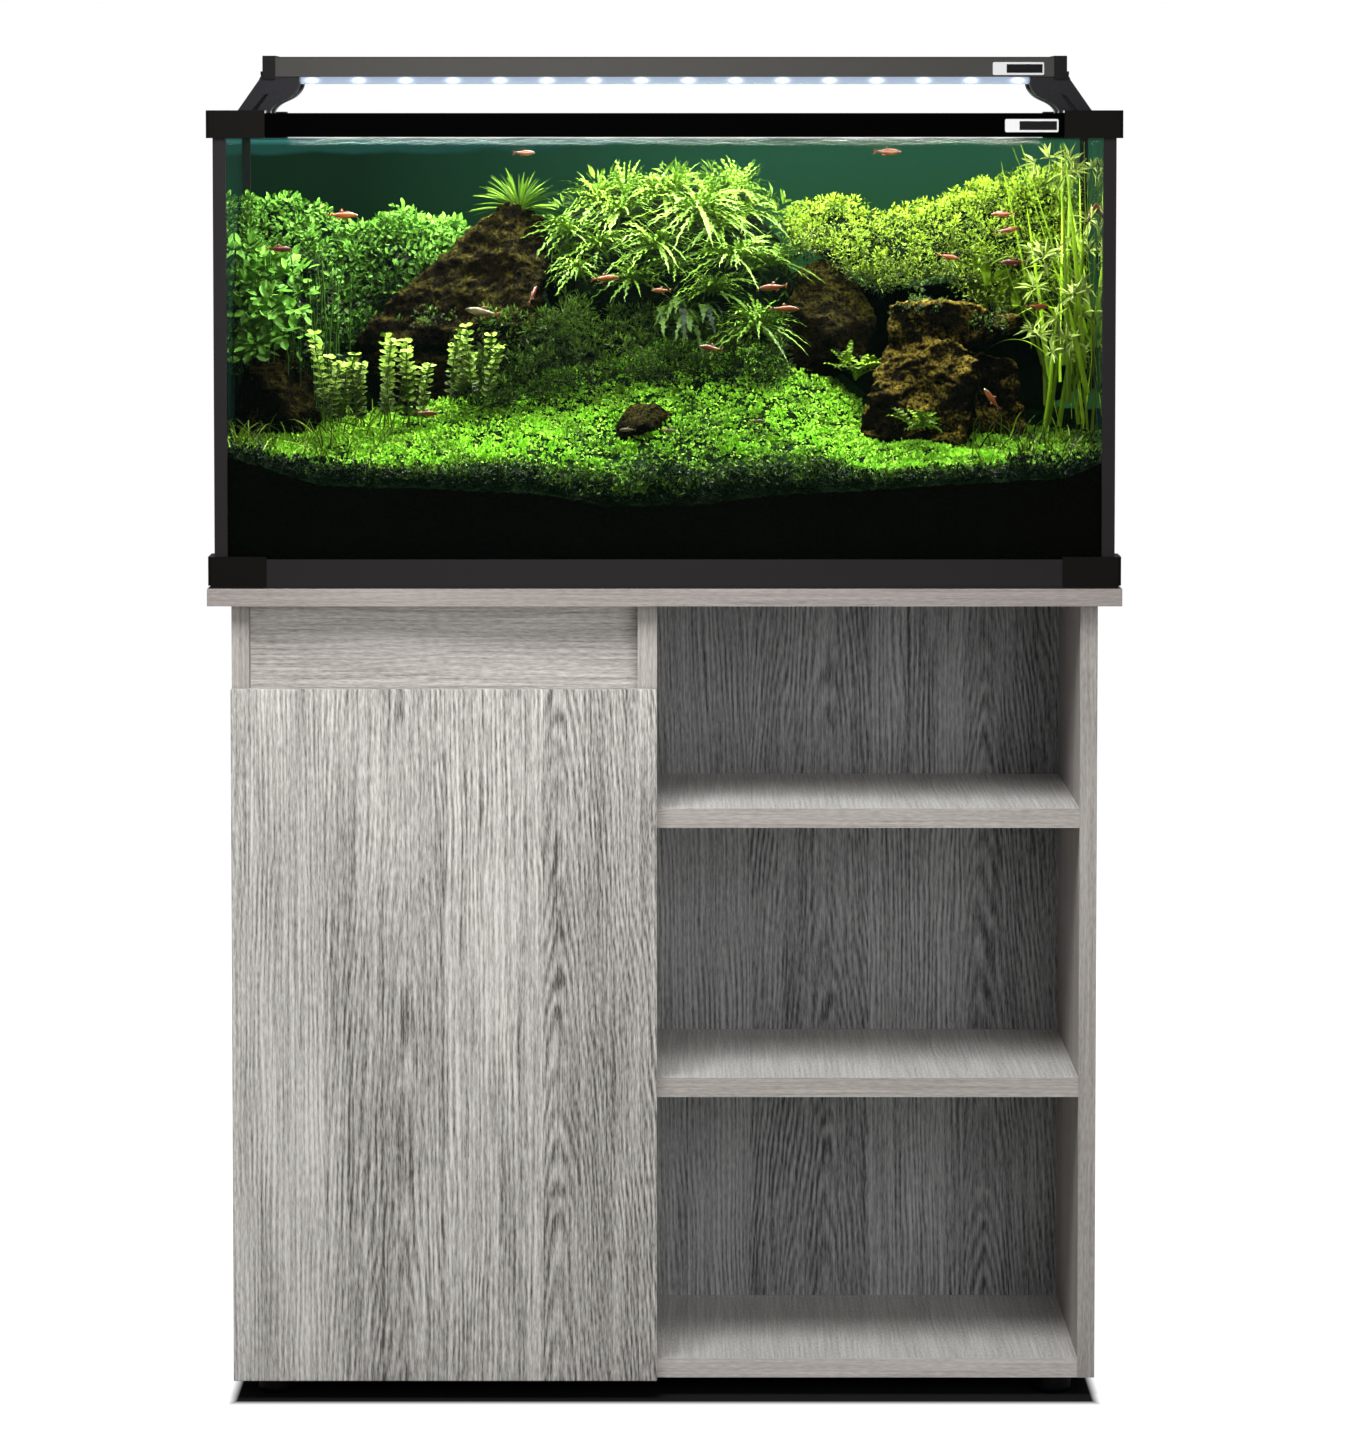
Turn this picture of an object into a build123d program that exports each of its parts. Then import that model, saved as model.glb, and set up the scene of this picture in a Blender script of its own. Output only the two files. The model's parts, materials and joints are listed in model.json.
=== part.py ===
from build123d import *
import os

# Rimmed glass aquarium on a flat-pack cabinet, lit by a slim lamp that stands on its rim.
# Millimetres. X runs to the right, Y to the back and Z up. The origin is on the floor, under
# the middle of the top board. The door, the fascia rail and the open bays face -Y.

os.makedirs("parts", exist_ok=True)

# ---------------------------------------------------------------- driving dimensions

# Cabinet boards
SIDE_T = 16.0                # side panels, top board, door and fascia rail
SHELF_T = 18.0               # bottom board, shelves and divider
BACK_T = 4.0
TOP_HALF_X = 421.5
TOP_HALF_Y = 183.0
CABINET_HALF_X = 400.5
FRONT_Y = -160.0             # front edges of the carcass
REAR_Y = 178.0               # rear edges of the side panels
FOOT_H = 17.0
STAND_H = 755.5
SHELF_LOWER_Z = 280.5        # underside
SHELF_UPPER_Z = 532.0        # underside
SHELF_SETBACK = 1.0          # shelf edges behind the carcass edges
DIVIDER_X = -16.0            # centre plane
FASCIA_SETBACK = 24.0        # behind the carcass edges, which leaves a finger grip
FASCIA_Z = 637.0             # underside
BACK_LIP = 8.0               # width of the rebate that holds a back panel
HOSE_HOLE = (-204.0, 640.0, 32.0)   # x, z and radius of the cut-out in the left back panel

# Feet
FOOT_R = 17.0
FOOT_X = 363.0
FOOT_Y = 135.0

# Knock-down fittings
FIT = 0.1                    # clearance around every fitting
CAM_R = 7.5
CAM_H = 12.0
CAM_SINK = 0.4
CAM_SETBACK = 24.0           # cam centre from the joint
BOLT_R = 3.0
BOLT_BACK = 16.0             # reach into the board that holds the cam
BOLT_INTO = 11.0             # reach into the mate
DOWEL_R = 4.0
DOWEL_BACK = 19.0
DOWEL_INTO = 10.0
CAM_REACH = 95.0             # cams either side of the middle of a board's end
DOWEL_STEP = 32.0            # from each cam to its dowel

# Door and concealed hinges
DOOR_TOP_Z = 662.5
DOOR_GAP = 2.0               # between the door and the carcass edges
DOOR_EDGE_R = 1.0
HINGE_X = -394.0             # door axis, inside the door's thickness
HINGE_Y = -171.5
HINGE_HEIGHTS = (120.0, 560.0)
CUP_R = 17.5
CUP_X = -380.0
CUP_DEPTH = 13.0
CUP_WALL = 0.8
ARM_HALF_W = 3.0
ARM_T = 2.0
HOOK_REACH = 14.0            # from the axis to the arm's straight stretch
PIN_R = 1.1
EYE_R = 2.1
LUG_T = 1.7
CATCH_Z = 605.0

# Tank
MAT_T = 3.0
FRAME_HALF_X = 418.0
FRAME_HALF_Y = 180.0
FRAME_LIP_T = 2.5
GLASS_HALF_X = 412.5
GLASS_HALF_Y = 176.0
GLASS_T = 6.0
BOTTOM_FRAME_TOP_Z = 782.5
TOP_FRAME_Z = 1170.5         # lower edge of the top frame
TOP_FRAME_TOP_Z = 1192.5
OPENING_HALF_X = 357.0       # the top frame's opening, between the ledges
OPENING_HALF_Y = 150.0
CAP_LEN = 54.0
CAP_T = 2.5
TRIM_W = 12.0
TRIM_T = 2.0
SEAM_LEG = 4.0               # silicone bead

# Lamp
LAMP_HALF_X = 376.5
LAMP_HALF_Y = 48.0
LAMP_Z = 1227.0              # underside of the housing
LAMP_TOP_Z = 1245.5
END_CAP_W = 12.0
WEB_T = 7.0                  # the housing's thick underside, which holds the rails
WALL_T = 1.8
RAIL_Y = 33.0
RAIL_NECK = 4.0
RAIL_HEAD = 10.0
RAIL_GAP = 0.3
LENS_HALF_X = 345.0
LENS_HALF_Y = 16.0
LENS_Z = 1220.5
LED_COUNT = 16
LED_PITCH = 44.3
LEG_INNER_Y = 21.0
LEG_OUTER_Y = 45.0
LEG_GAP = 0.2                # between a leg's foot and the ledge

# Worked out from the dimensions above
CARCASS_TOP_Z = STAND_H - SIDE_T
FLOOR_TOP_Z = FOOT_H + SHELF_T
INNER_X = CABINET_HALF_X - SIDE_T
PANEL_REAR_Y = REAR_Y - BACK_T
DIVIDER_RIGHT_X = DIVIDER_X + SHELF_T / 2
DIVIDER_LEFT_X = DIVIDER_X - SHELF_T / 2
DOOR_INNER_Y = FRONT_Y - DOOR_GAP
DOOR_OUTER_Y = DOOR_INNER_Y - SIDE_T
FASCIA_Y = FRONT_Y + FASCIA_SETBACK
TANK_Z = STAND_H + MAT_T
GLASS_Z = TANK_Z + FRAME_LIP_T
GLASS_TOP_Z = TOP_FRAME_TOP_Z - FRAME_LIP_T
ROOM_HALF_X = GLASS_HALF_X - GLASS_T
ROOM_HALF_Y = GLASS_HALF_Y - GLASS_T
ROOM_Z = GLASS_Z + GLASS_T

X_DIR = Vector(1, 0, 0)
Y_DIR = Vector(0, 1, 0)
Z_DIR = Vector(0, 0, 1)


# ---------------------------------------------------------------- helpers

def block(x, y, z):
    """Box between the low and high value of each axis."""
    sizes = [high - low for low, high in (x, y, z)]
    middles = [(low + high) / 2 for low, high in (x, y, z)]
    return Pos(*middles) * Box(*sizes)


def both(half):
    """Low and high value of a span that is centred on zero."""
    return (-half, half)


def rod(start, end, radius):
    """Round bar from one point to another."""
    axis = end - start
    return Solid.make_cylinder(radius, axis.length, Plane(origin=start, z_dir=axis))


def screw(seat, into, length, radius=1.75):
    """Flat-headed screw: seat is the middle of the head's top, into points along the shank."""
    head_h = radius
    head = Solid.make_cone(2 * radius, radius, head_h, Plane(origin=seat, z_dir=into))
    return head + rod(seat + into * head_h, seat + into * length, radius)


def mirrored_in_x(shape):
    return mirror(shape, about=Plane.YZ)


def mirrored_in_y(shape):
    return mirror(shape, about=Plane.XZ)


def four_corners(shape):
    """The shape at the right rear corner, and its mirror images at the other three."""
    rear = [shape, mirrored_in_x(shape)]
    return rear + [mirrored_in_y(corner) for corner in rear]


def save(name, *shapes):
    """Write one node, with each separate piece as its own solid."""
    solids = [solid for shape in shapes for solid in shape.solids()]
    node = solids[0] if len(solids) == 1 else Compound(solids)
    export_step(node, f"parts/{name}.step")


# ---------------------------------------------------------------- knock-down fittings

cams = []
bolts = []
dowels = []
fitting_holes = []


def fit_joint(middle, into, cam_side, thickness, along=Y_DIR, reach=CAM_REACH):
    """Add the cams, bolts and dowels that pull the end of one board against its mate.

    middle is the centre of the joint, into points from the board with the cams to its mate,
    and cam_side points out of the face that the cams are let into.
    """
    for sign in (-1, 1):
        line = middle + along * (sign * reach)
        face = line - into * CAM_SETBACK + cam_side * (thickness / 2)
        top = face - cam_side * CAM_SINK
        cams.append(rod(top - cam_side * CAM_H, top, CAM_R))
        fitting_holes.append(rod(top - cam_side * (CAM_H + FIT), face + cam_side, CAM_R + FIT))
        add_bar(bolts, line, into, BOLT_BACK, BOLT_INTO, BOLT_R)
        dowel_line = middle + along * (sign * (reach + DOWEL_STEP))
        add_bar(dowels, dowel_line, into, DOWEL_BACK, DOWEL_INTO, DOWEL_R)


def add_bar(group, line, into, back, reach, radius):
    """Add one bar across a joint, and the hole that takes it."""
    group.append(rod(line - into * back, line + into * reach, radius))
    hole_start = line - into * (back + FIT)
    hole_end = line + into * (reach + FIT)
    fitting_holes.append(rod(hole_start, hole_end, radius + FIT))


def bored(board):
    """The board with a hole for every fitting that reaches into it."""
    box = board.bounding_box()
    near = [hole for hole in fitting_holes if box.overlaps(hole.bounding_box())]
    return board - near if near else board


def place_fittings():
    floor_mid_z = FOOT_H + SHELF_T / 2
    for side in (-1, 1):
        outward = X_DIR * side
        fit_joint(Vector(side * INNER_X, 0, floor_mid_z), outward, -Z_DIR, SHELF_T)
        side_mid_x = side * (INNER_X + SIDE_T / 2)
        fit_joint(Vector(side_mid_x, 0, CARCASS_TOP_Z), Z_DIR, -outward, SIDE_T)
    fit_joint(Vector(DIVIDER_X, 0, CARCASS_TOP_Z), Z_DIR, -X_DIR, SHELF_T)
    fit_joint(Vector(DIVIDER_X, 0, FLOOR_TOP_Z), -Z_DIR, -X_DIR, SHELF_T)
    for shelf_z in (SHELF_LOWER_Z, SHELF_UPPER_Z):
        mid_z = shelf_z + SHELF_T / 2
        fit_joint(Vector(INNER_X, 0, mid_z), X_DIR, -Z_DIR, SHELF_T)
        fit_joint(Vector(DIVIDER_RIGHT_X, 0, mid_z), -X_DIR, -Z_DIR, SHELF_T)
    fascia_y = FASCIA_Y + SIDE_T / 2
    fascia_z = (FASCIA_Z + CARCASS_TOP_Z) / 2
    for x, into in ((-INNER_X, -X_DIR), (DIVIDER_LEFT_X, X_DIR)):
        fit_joint(Vector(x, fascia_y, fascia_z), into, Y_DIR, SIDE_T, Z_DIR, reach=9.0)


# ---------------------------------------------------------------- cabinet

def side_panel():
    """Right side panel, rebated at the back for the back panel."""
    panel = block((INNER_X, CABINET_HALF_X), (FRONT_Y, REAR_Y), (FOOT_H, CARCASS_TOP_Z))
    rebate_z = (FOOT_H + 2, CARCASS_TOP_Z)
    return panel - block((INNER_X, INNER_X + BACK_LIP), (PANEL_REAR_Y, REAR_Y), rebate_z)


def shelf(z):
    front = FRONT_Y + SHELF_SETBACK
    return block((DIVIDER_RIGHT_X, INNER_X), (front, PANEL_REAR_Y), (z, z + SHELF_T))


def back_panel(x_low, x_high):
    return block((x_low, x_high), (PANEL_REAR_Y, REAR_Y), (FOOT_H + 2, CARCASS_TOP_Z))


def back_pins(x_values):
    """Pins through a back panel into the boards behind its edges."""
    rows = 7
    first_z = FOOT_H + 9
    step = (CARCASS_TOP_Z - 30 - first_z) / (rows - 1)
    pins = []
    for x in x_values:
        for row in range(rows):
            head = Vector(x, REAR_Y + 0.8, first_z + row * step)
            pins.append(rod(head, head - Y_DIR * 0.8, 2.2) + rod(head, head - Y_DIR * 16, 0.8))
    return pins


def foot_parts():
    """One foot and the screw that holds it, at the right rear corner."""
    foot = Pos(FOOT_X, FOOT_Y, FOOT_H / 2) * Cylinder(FOOT_R, FOOT_H)
    foot = fillet(foot.edges().filter_by(GeomType.CIRCLE).sort_by(Axis.Z)[0], 5.0)
    seat = Vector(FOOT_X, FOOT_Y, 7.0)
    foot_screw = screw(seat, Z_DIR, 22.0)
    foot -= rod(Vector(FOOT_X, FOOT_Y, -1), seat, 4.0)
    foot -= screw(seat - Z_DIR * FIT, Z_DIR, 22.0, 1.75 + FIT)
    return foot, foot_screw


def build_cabinet():
    top = block(both(TOP_HALF_X), both(TOP_HALF_Y), (CARCASS_TOP_Z, STAND_H))
    save("top_board", bored(top))
    pins = back_pins((-INNER_X - 4, DIVIDER_X - 4, DIVIDER_X + 4, INNER_X + 4))
    pin_holes = [pin_clearance(pin) for pin in pins]
    right = side_panel()
    arm_screws = hinge_arm_screws()
    left = mirrored_in_x(right) - [grown_screw(seat, into) for seat, into in arm_screws]
    save("side_panel_right", bored(right) - pin_holes)
    save("side_panel_left", bored(left) - pin_holes)

    divider = block((DIVIDER_LEFT_X, DIVIDER_RIGHT_X), (FRONT_Y, PANEL_REAR_Y),
                    (FLOOR_TOP_Z, CARCASS_TOP_Z))
    catch_screws = catch_screw_seats()
    divider -= [grown_screw(seat, into) for seat, into in catch_screws]
    save("divider_panel", bored(divider) - pin_holes)

    foot, foot_screw = foot_parts()
    foot_screws = four_corners(foot_screw)
    floor = block(both(INNER_X), (FRONT_Y + SHELF_SETBACK, PANEL_REAR_Y), (FOOT_H, FLOOR_TOP_Z))
    save("bottom_board", bored(floor) - foot_screws - pin_holes)
    save("feet", *four_corners(foot))
    save("shelf_lower", bored(shelf(SHELF_LOWER_Z)))
    save("shelf_upper", bored(shelf(SHELF_UPPER_Z)))

    fascia = block((-INNER_X, DIVIDER_LEFT_X), (FASCIA_Y, FASCIA_Y + SIDE_T),
                   (FASCIA_Z, CARCASS_TOP_Z))
    save("fascia_rail", bored(fascia))

    hose_x, hose_z, hose_r = HOSE_HOLE
    hose_cut = rod(Vector(hose_x, PANEL_REAR_Y - 1, hose_z), Vector(hose_x, REAR_Y + 1, hose_z),
                   hose_r)
    edge_x = INNER_X + BACK_LIP
    save("back_panel_left", back_panel(-edge_x, DIVIDER_X) - hose_cut - pin_holes)
    save("back_panel_right", back_panel(DIVIDER_X, edge_x) - pin_holes)
    save("back_panel_pins", *pins)
    save("cam_locks", *cams)
    save("cam_bolts", *bolts)
    save("wood_dowels", *dowels)
    wood_screws = [screw(seat, into, 12.0) for seat, into in arm_screws + catch_screws]
    save("cabinet_screws", *foot_screws, *wood_screws)


def pin_clearance(pin):
    """Hole for one back panel pin."""
    box = pin.bounding_box()
    x = box.center().X
    z = box.center().Z
    head = Vector(x, REAR_Y + 1, z)
    return rod(Vector(x, box.min.Y - FIT, z), head, 0.8 + FIT)


def grown_screw(seat, into):
    """Space for a small wood screw."""
    return screw(seat - into * FIT, into, 12.0 + 2 * FIT, 1.75 + FIT)


# ---------------------------------------------------------------- door and hinges

def hinge_arm_screws():
    """Seat and direction of the screws through the hinges' mounting plates."""
    seat_x = -INNER_X + 1.5
    return [(Vector(seat_x, FRONT_Y + 37, z + dz), -X_DIR)
            for z in HINGE_HEIGHTS for dz in (-16, 16)]


def catch_screw_seats():
    """Seat and direction of the screws through the magnetic catch."""
    return [(Vector(DIVIDER_LEFT_X - 3, FRONT_Y + 14, CATCH_Z + dz), X_DIR) for dz in (-21, 21)]


def hinge_arm(z):
    """Mounting plate, arm, and the hook that reaches round the panel's edge to the axis."""
    wall_x = -INNER_X
    plate = block((wall_x, wall_x + 1.5), (FRONT_Y + 20, FRONT_Y + 54), (z - 22, z + 22))
    arm = block((wall_x + 1.5, wall_x + 5.5), (FRONT_Y + 10, FRONT_Y + 62), (z - 7, z + 7))
    run_x = HINGE_X + HOOK_REACH
    run = block((run_x - ARM_T / 2, run_x + ARM_T / 2), (HINGE_Y - ARM_T / 2, FRONT_Y + 14),
                (z - ARM_HALF_W, z + ARM_HALF_W))
    reach = block((HINGE_X, run_x), (HINGE_Y - ARM_T / 2, HINGE_Y + ARM_T / 2),
                  (z - ARM_HALF_W, z + ARM_HALF_W))
    low = Vector(HINGE_X, HINGE_Y, z - ARM_HALF_W)
    high = Vector(HINGE_X, HINGE_Y, z + ARM_HALF_W)
    hook = run + reach + rod(low, high, EYE_R) - rod(low - Z_DIR, high + Z_DIR, PIN_R)
    return plate + arm + hook


def hinge_pin(z):
    half = ARM_HALF_W + RAIL_GAP + LUG_T
    return rod(Vector(HINGE_X, HINGE_Y, z - half), Vector(HINGE_X, HINGE_Y, z + half), PIN_R)


def hinge_cup(z):
    """Pressed cup with a flange, two screw wings, and lugs that turn on the hinge pin."""
    inner = Vector(CUP_X, DOOR_INNER_Y, z)
    bottom = inner - Y_DIR * CUP_DEPTH
    face = inner + Y_DIR * 1.0
    cup = rod(bottom, inner, CUP_R) + rod(inner, face, CUP_R + 0.5)
    cup += block((CUP_X - 7, CUP_X + 7), (DOOR_INNER_Y, DOOR_INNER_Y + 1), (z - 30, z + 30))
    cup -= rod(bottom + Y_DIR * CUP_WALL, face + Y_DIR, CUP_R - CUP_WALL)
    lug_low = ARM_HALF_W + RAIL_GAP
    for side in (-1, 1):
        lug_z = sorted((z + side * lug_low, z + side * (lug_low + LUG_T)))
        cup += block((HINGE_X - 2.5, HINGE_X + 2.5), (bottom.Y + 0.4, HINGE_Y + 2.2), lug_z)
    cup -= rod(Vector(HINGE_X, HINGE_Y, z - 6), Vector(HINGE_X, HINGE_Y, z + 6), PIN_R + 0.15)
    for seat in cup_screw_seats(z):
        cup -= rod(seat - Y_DIR * 3, seat + Y_DIR, 1.75 + FIT)
        cup -= screw(seat + Y_DIR * FIT, -Y_DIR, 12.0, 1.75 + FIT)
    return cup


def cup_screw_seats(z):
    return [Vector(CUP_X, DOOR_INNER_Y + 1, z + dz) for dz in (-24, 24)]


def build_door():
    panel = block((-CABINET_HALF_X, DIVIDER_RIGHT_X), (DOOR_OUTER_Y, DOOR_INNER_Y),
                  (FOOT_H, DOOR_TOP_Z))
    panel = fillet(panel.edges(), DOOR_EDGE_R)
    screw_seats = [seat for z in HINGE_HEIGHTS for seat in cup_screw_seats(z)]
    strike_x = DIVIDER_LEFT_X - 7
    strike_seat = Vector(strike_x, DOOR_INNER_Y + 1.2, CATCH_Z)
    strike = block((strike_x - 7, strike_x + 7), (DOOR_INNER_Y, DOOR_INNER_Y + 1.2),
                   (CATCH_Z - 15, CATCH_Z + 15))
    door_screws = [screw(seat, -Y_DIR, 12.0) for seat in screw_seats + [strike_seat]]
    spaces = [grown_screw(seat, -Y_DIR) for seat in screw_seats + [strike_seat]]
    for z in HINGE_HEIGHTS:
        mouth = Vector(CUP_X, DOOR_INNER_Y + 1, z)
        spaces.append(rod(mouth - Y_DIR * (1 + CUP_DEPTH + FIT), mouth, CUP_R + FIT))
    save("door_panel", panel - spaces)
    save("strike_plate", strike - grown_screw(strike_seat, -Y_DIR))
    save("door_screws", *door_screws)
    save("hinge_cups", *[hinge_cup(z) for z in HINGE_HEIGHTS])
    save("hinge_arms", *[hinge_arm(z) - [grown_screw(*place) for place in hinge_arm_screws()]
                         for z in HINGE_HEIGHTS])
    save("hinge_pins", *[hinge_pin(z) for z in HINGE_HEIGHTS])

    bumper_y = (DOOR_INNER_Y, DOOR_INNER_Y + 1.7)
    bumpers = [rod(Vector(DIVIDER_X, bumper_y[0], z), Vector(DIVIDER_X, bumper_y[1], z), 4.0)
               for z in (FLOOR_TOP_Z + 10, DOOR_TOP_Z - 14)]
    save("door_bumpers", *bumpers)

    catch = block((DIVIDER_LEFT_X - 14, DIVIDER_LEFT_X), (FRONT_Y - 0.5, FRONT_Y + 30),
                  (CATCH_Z - 15, CATCH_Z + 15))
    catch += block((DIVIDER_LEFT_X - 3, DIVIDER_LEFT_X), (FRONT_Y + 6, FRONT_Y + 22),
                   (CATCH_Z - 27, CATCH_Z + 27))
    save("catch_magnet", catch - [grown_screw(*place) for place in catch_screw_seats()])


# ---------------------------------------------------------------- tank

def mitred(ring, z, inner_y):
    """Split a rectangular ring into its front bar and its left bar, mitred at the corners."""
    edge_x = FRAME_HALF_X + 3
    edge_y = FRAME_HALF_Y + 3
    corner_x = edge_x - (edge_y - inner_y)
    outline = Polyline((-edge_x, -edge_y), (edge_x, -edge_y), (corner_x, -inner_y),
                       (-corner_x, -inner_y), close=True)
    low, high = z
    prism = Pos(0, 0, low) * extrude(make_face(outline), high - low)
    ends = ring - prism - mirrored_in_y(prism)
    return ring & prism, ends & block((-edge_x, 0), both(edge_y), z)


def frame_ring(z, lip_z, inner_x, inner_y):
    """Outer wall that stands around the glass, with a flat lip that covers the glass edges."""
    walls = block(both(FRAME_HALF_X), both(FRAME_HALF_Y), z)
    walls -= block(both(GLASS_HALF_X), both(GLASS_HALF_Y), z)
    lip = block(both(FRAME_HALF_X), both(FRAME_HALF_Y), lip_z)
    return walls + (lip - block(both(inner_x), both(inner_y), lip_z))


def corner_cap(z, cover_z, cover_x, cover_y):
    """Cap around the frame's right rear corner: two outer walls and an L-shaped cover."""
    outer_x = FRAME_HALF_X + CAP_T
    outer_y = FRAME_HALF_Y + CAP_T
    inner_x = outer_x - CAP_LEN
    inner_y = outer_y - CAP_LEN
    cap = block((inner_x, outer_x), (inner_y, outer_y), z)
    corner = cap.edges().filter_by(Axis.Z).sort_by(Axis.X)[-2:].sort_by(Axis.Y)[-1]
    cap = fillet(corner, 4.0)
    cap -= block((inner_x, FRAME_HALF_X), (inner_y, FRAME_HALF_Y), z)
    cover = block((inner_x, FRAME_HALF_X + CAP_T / 2), (inner_y, FRAME_HALF_Y + CAP_T / 2),
                  cover_z)
    return cap + (cover - block((inner_x, cover_x), (inner_y, cover_y), cover_z))


def corner_trim():
    """L-shaped strip over the glass joint at the right rear corner."""
    outer_x = GLASS_HALF_X + TRIM_T
    outer_y = GLASS_HALF_Y + TRIM_T
    z = (BOTTOM_FRAME_TOP_Z + CAP_T, TOP_FRAME_Z - 1)
    strip = block((outer_x - TRIM_W, outer_x), (outer_y - TRIM_W, outer_y), z)
    return strip - block((0, GLASS_HALF_X), (0, GLASS_HALF_Y), z)


def badge(x, z, face_y):
    """Thin plate with rounded corners on a front face, left blank."""
    plate = block(x, (face_y - 0.8, face_y), z)
    return fillet(plate.edges().filter_by(Axis.Y), 1.5)


def build_tank():
    save("levelling_mat", block(both(FRAME_HALF_X), both(FRAME_HALF_Y), (STAND_H, TANK_Z)))

    z = (TANK_Z, BOTTOM_FRAME_TOP_Z)
    inner_x = FRAME_HALF_X - 28
    inner_y = FRAME_HALF_Y - 28
    ring = frame_ring(z, (TANK_Z, GLASS_Z), inner_x, inner_y)
    front, left = mitred(ring, z, inner_y)
    save("bottom_frame_long_bars", front, mirrored_in_y(front))
    save("bottom_frame_end_bars", left, mirrored_in_x(left))
    cap_top = BOTTOM_FRAME_TOP_Z + CAP_T
    cap = corner_cap((TANK_Z, cap_top), (BOTTOM_FRAME_TOP_Z, cap_top), GLASS_HALF_X,
                     GLASS_HALF_Y)
    save("bottom_corner_caps", *four_corners(cap))

    wall_z = (GLASS_Z, GLASS_TOP_Z)
    front = block(both(GLASS_HALF_X), (-GLASS_HALF_Y, -ROOM_HALF_Y), wall_z)
    left = block((-GLASS_HALF_X, -ROOM_HALF_X), both(ROOM_HALF_Y), wall_z)
    save("glass_front", front)
    save("glass_rear", mirrored_in_y(front))
    save("glass_left", left)
    save("glass_right", mirrored_in_x(left))
    save("glass_bottom", block(both(ROOM_HALF_X), both(ROOM_HALF_Y), (GLASS_Z, ROOM_Z)))
    save("silicone_seams", whole_room() - beaded_room())
    save("corner_trims", *four_corners(corner_trim()))

    z = (TOP_FRAME_Z, TOP_FRAME_TOP_Z)
    ring = frame_ring(z, (GLASS_TOP_Z, TOP_FRAME_TOP_Z), OPENING_HALF_X, OPENING_HALF_Y)
    inner_wall_z = (GLASS_TOP_Z - 12, GLASS_TOP_Z)
    inner_wall = block(both(ROOM_HALF_X), both(ROOM_HALF_Y), inner_wall_z)
    ring += inner_wall - block(both(ROOM_HALF_X - 2.5), both(ROOM_HALF_Y - 2.5), inner_wall_z)
    front, left = mitred(ring, z, OPENING_HALF_Y)
    save("top_frame_long_bars", front, mirrored_in_y(front))
    save("top_frame_end_bars", left, mirrored_in_x(left))
    cap_top = TOP_FRAME_TOP_Z + CAP_T
    cap = corner_cap((TOP_FRAME_Z - 1, cap_top), (TOP_FRAME_TOP_Z, cap_top),
                     FRAME_HALF_X - 28, FRAME_HALF_Y - 28)
    save("top_corner_caps", *four_corners(cap))

    film_half_x = GLASS_HALF_X + TRIM_T - TRIM_W - 0.1
    film_z = (BOTTOM_FRAME_TOP_Z + 3, TOP_FRAME_Z - 1)
    film_y = (GLASS_HALF_Y, GLASS_HALF_Y + 0.4)
    save("background_film", block(both(film_half_x), film_y, film_z))
    save("frame_badge", badge((312, 361), (1175.0, 1187.0), -FRAME_HALF_Y))


# ---------------------------------------------------------------- what the tank holds

def whole_room():
    """The space between the panes, up to the silicone's top."""
    return block(both(ROOM_HALF_X), both(ROOM_HALF_Y), (ROOM_Z, GLASS_TOP_Z - 12))


def beaded_room():
    """The same space, less the silicone beads along its floor and upright edges."""
    room = whole_room()
    beads = room.edges().filter_by(Axis.Z) + room.faces().sort_by(Axis.Z)[0].edges()
    return chamfer(beads, SEAM_LEG)


def bed_profile(points):
    """Solid below a line of (y, z) points that runs across the whole room."""
    line = [(ROOM_HALF_Y, ROOM_Z), (-ROOM_HALF_Y, ROOM_Z)] + points
    face = make_face(Plane.YZ * Polyline(*line, close=True))
    half = extrude(face, ROOM_HALF_X)
    return half + mirrored_in_x(half)


def boulder(x, y, z, turn, edge):
    """Faceted rock: a turned block with its edges cut back."""
    sizes = [high - low for low, high in (x, y, z)]
    middles = [(low + high) / 2 for low, high in (x, y, z)]
    rock = chamfer(Box(*sizes).edges(), edge)
    return Pos(*middles) * Rot(0, 0, turn) * rock


def clump(x, y, z, taper):
    """Tapering block for a mass of plants."""
    sizes = [high - low for low, high in (x, y)]
    middles = [(low + high) / 2 for low, high in (x, y)]
    base = Pos(middles[0], middles[1], z[0]) * Rectangle(*sizes)
    return extrude(base, z[1] - z[0], taper=taper)


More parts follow.
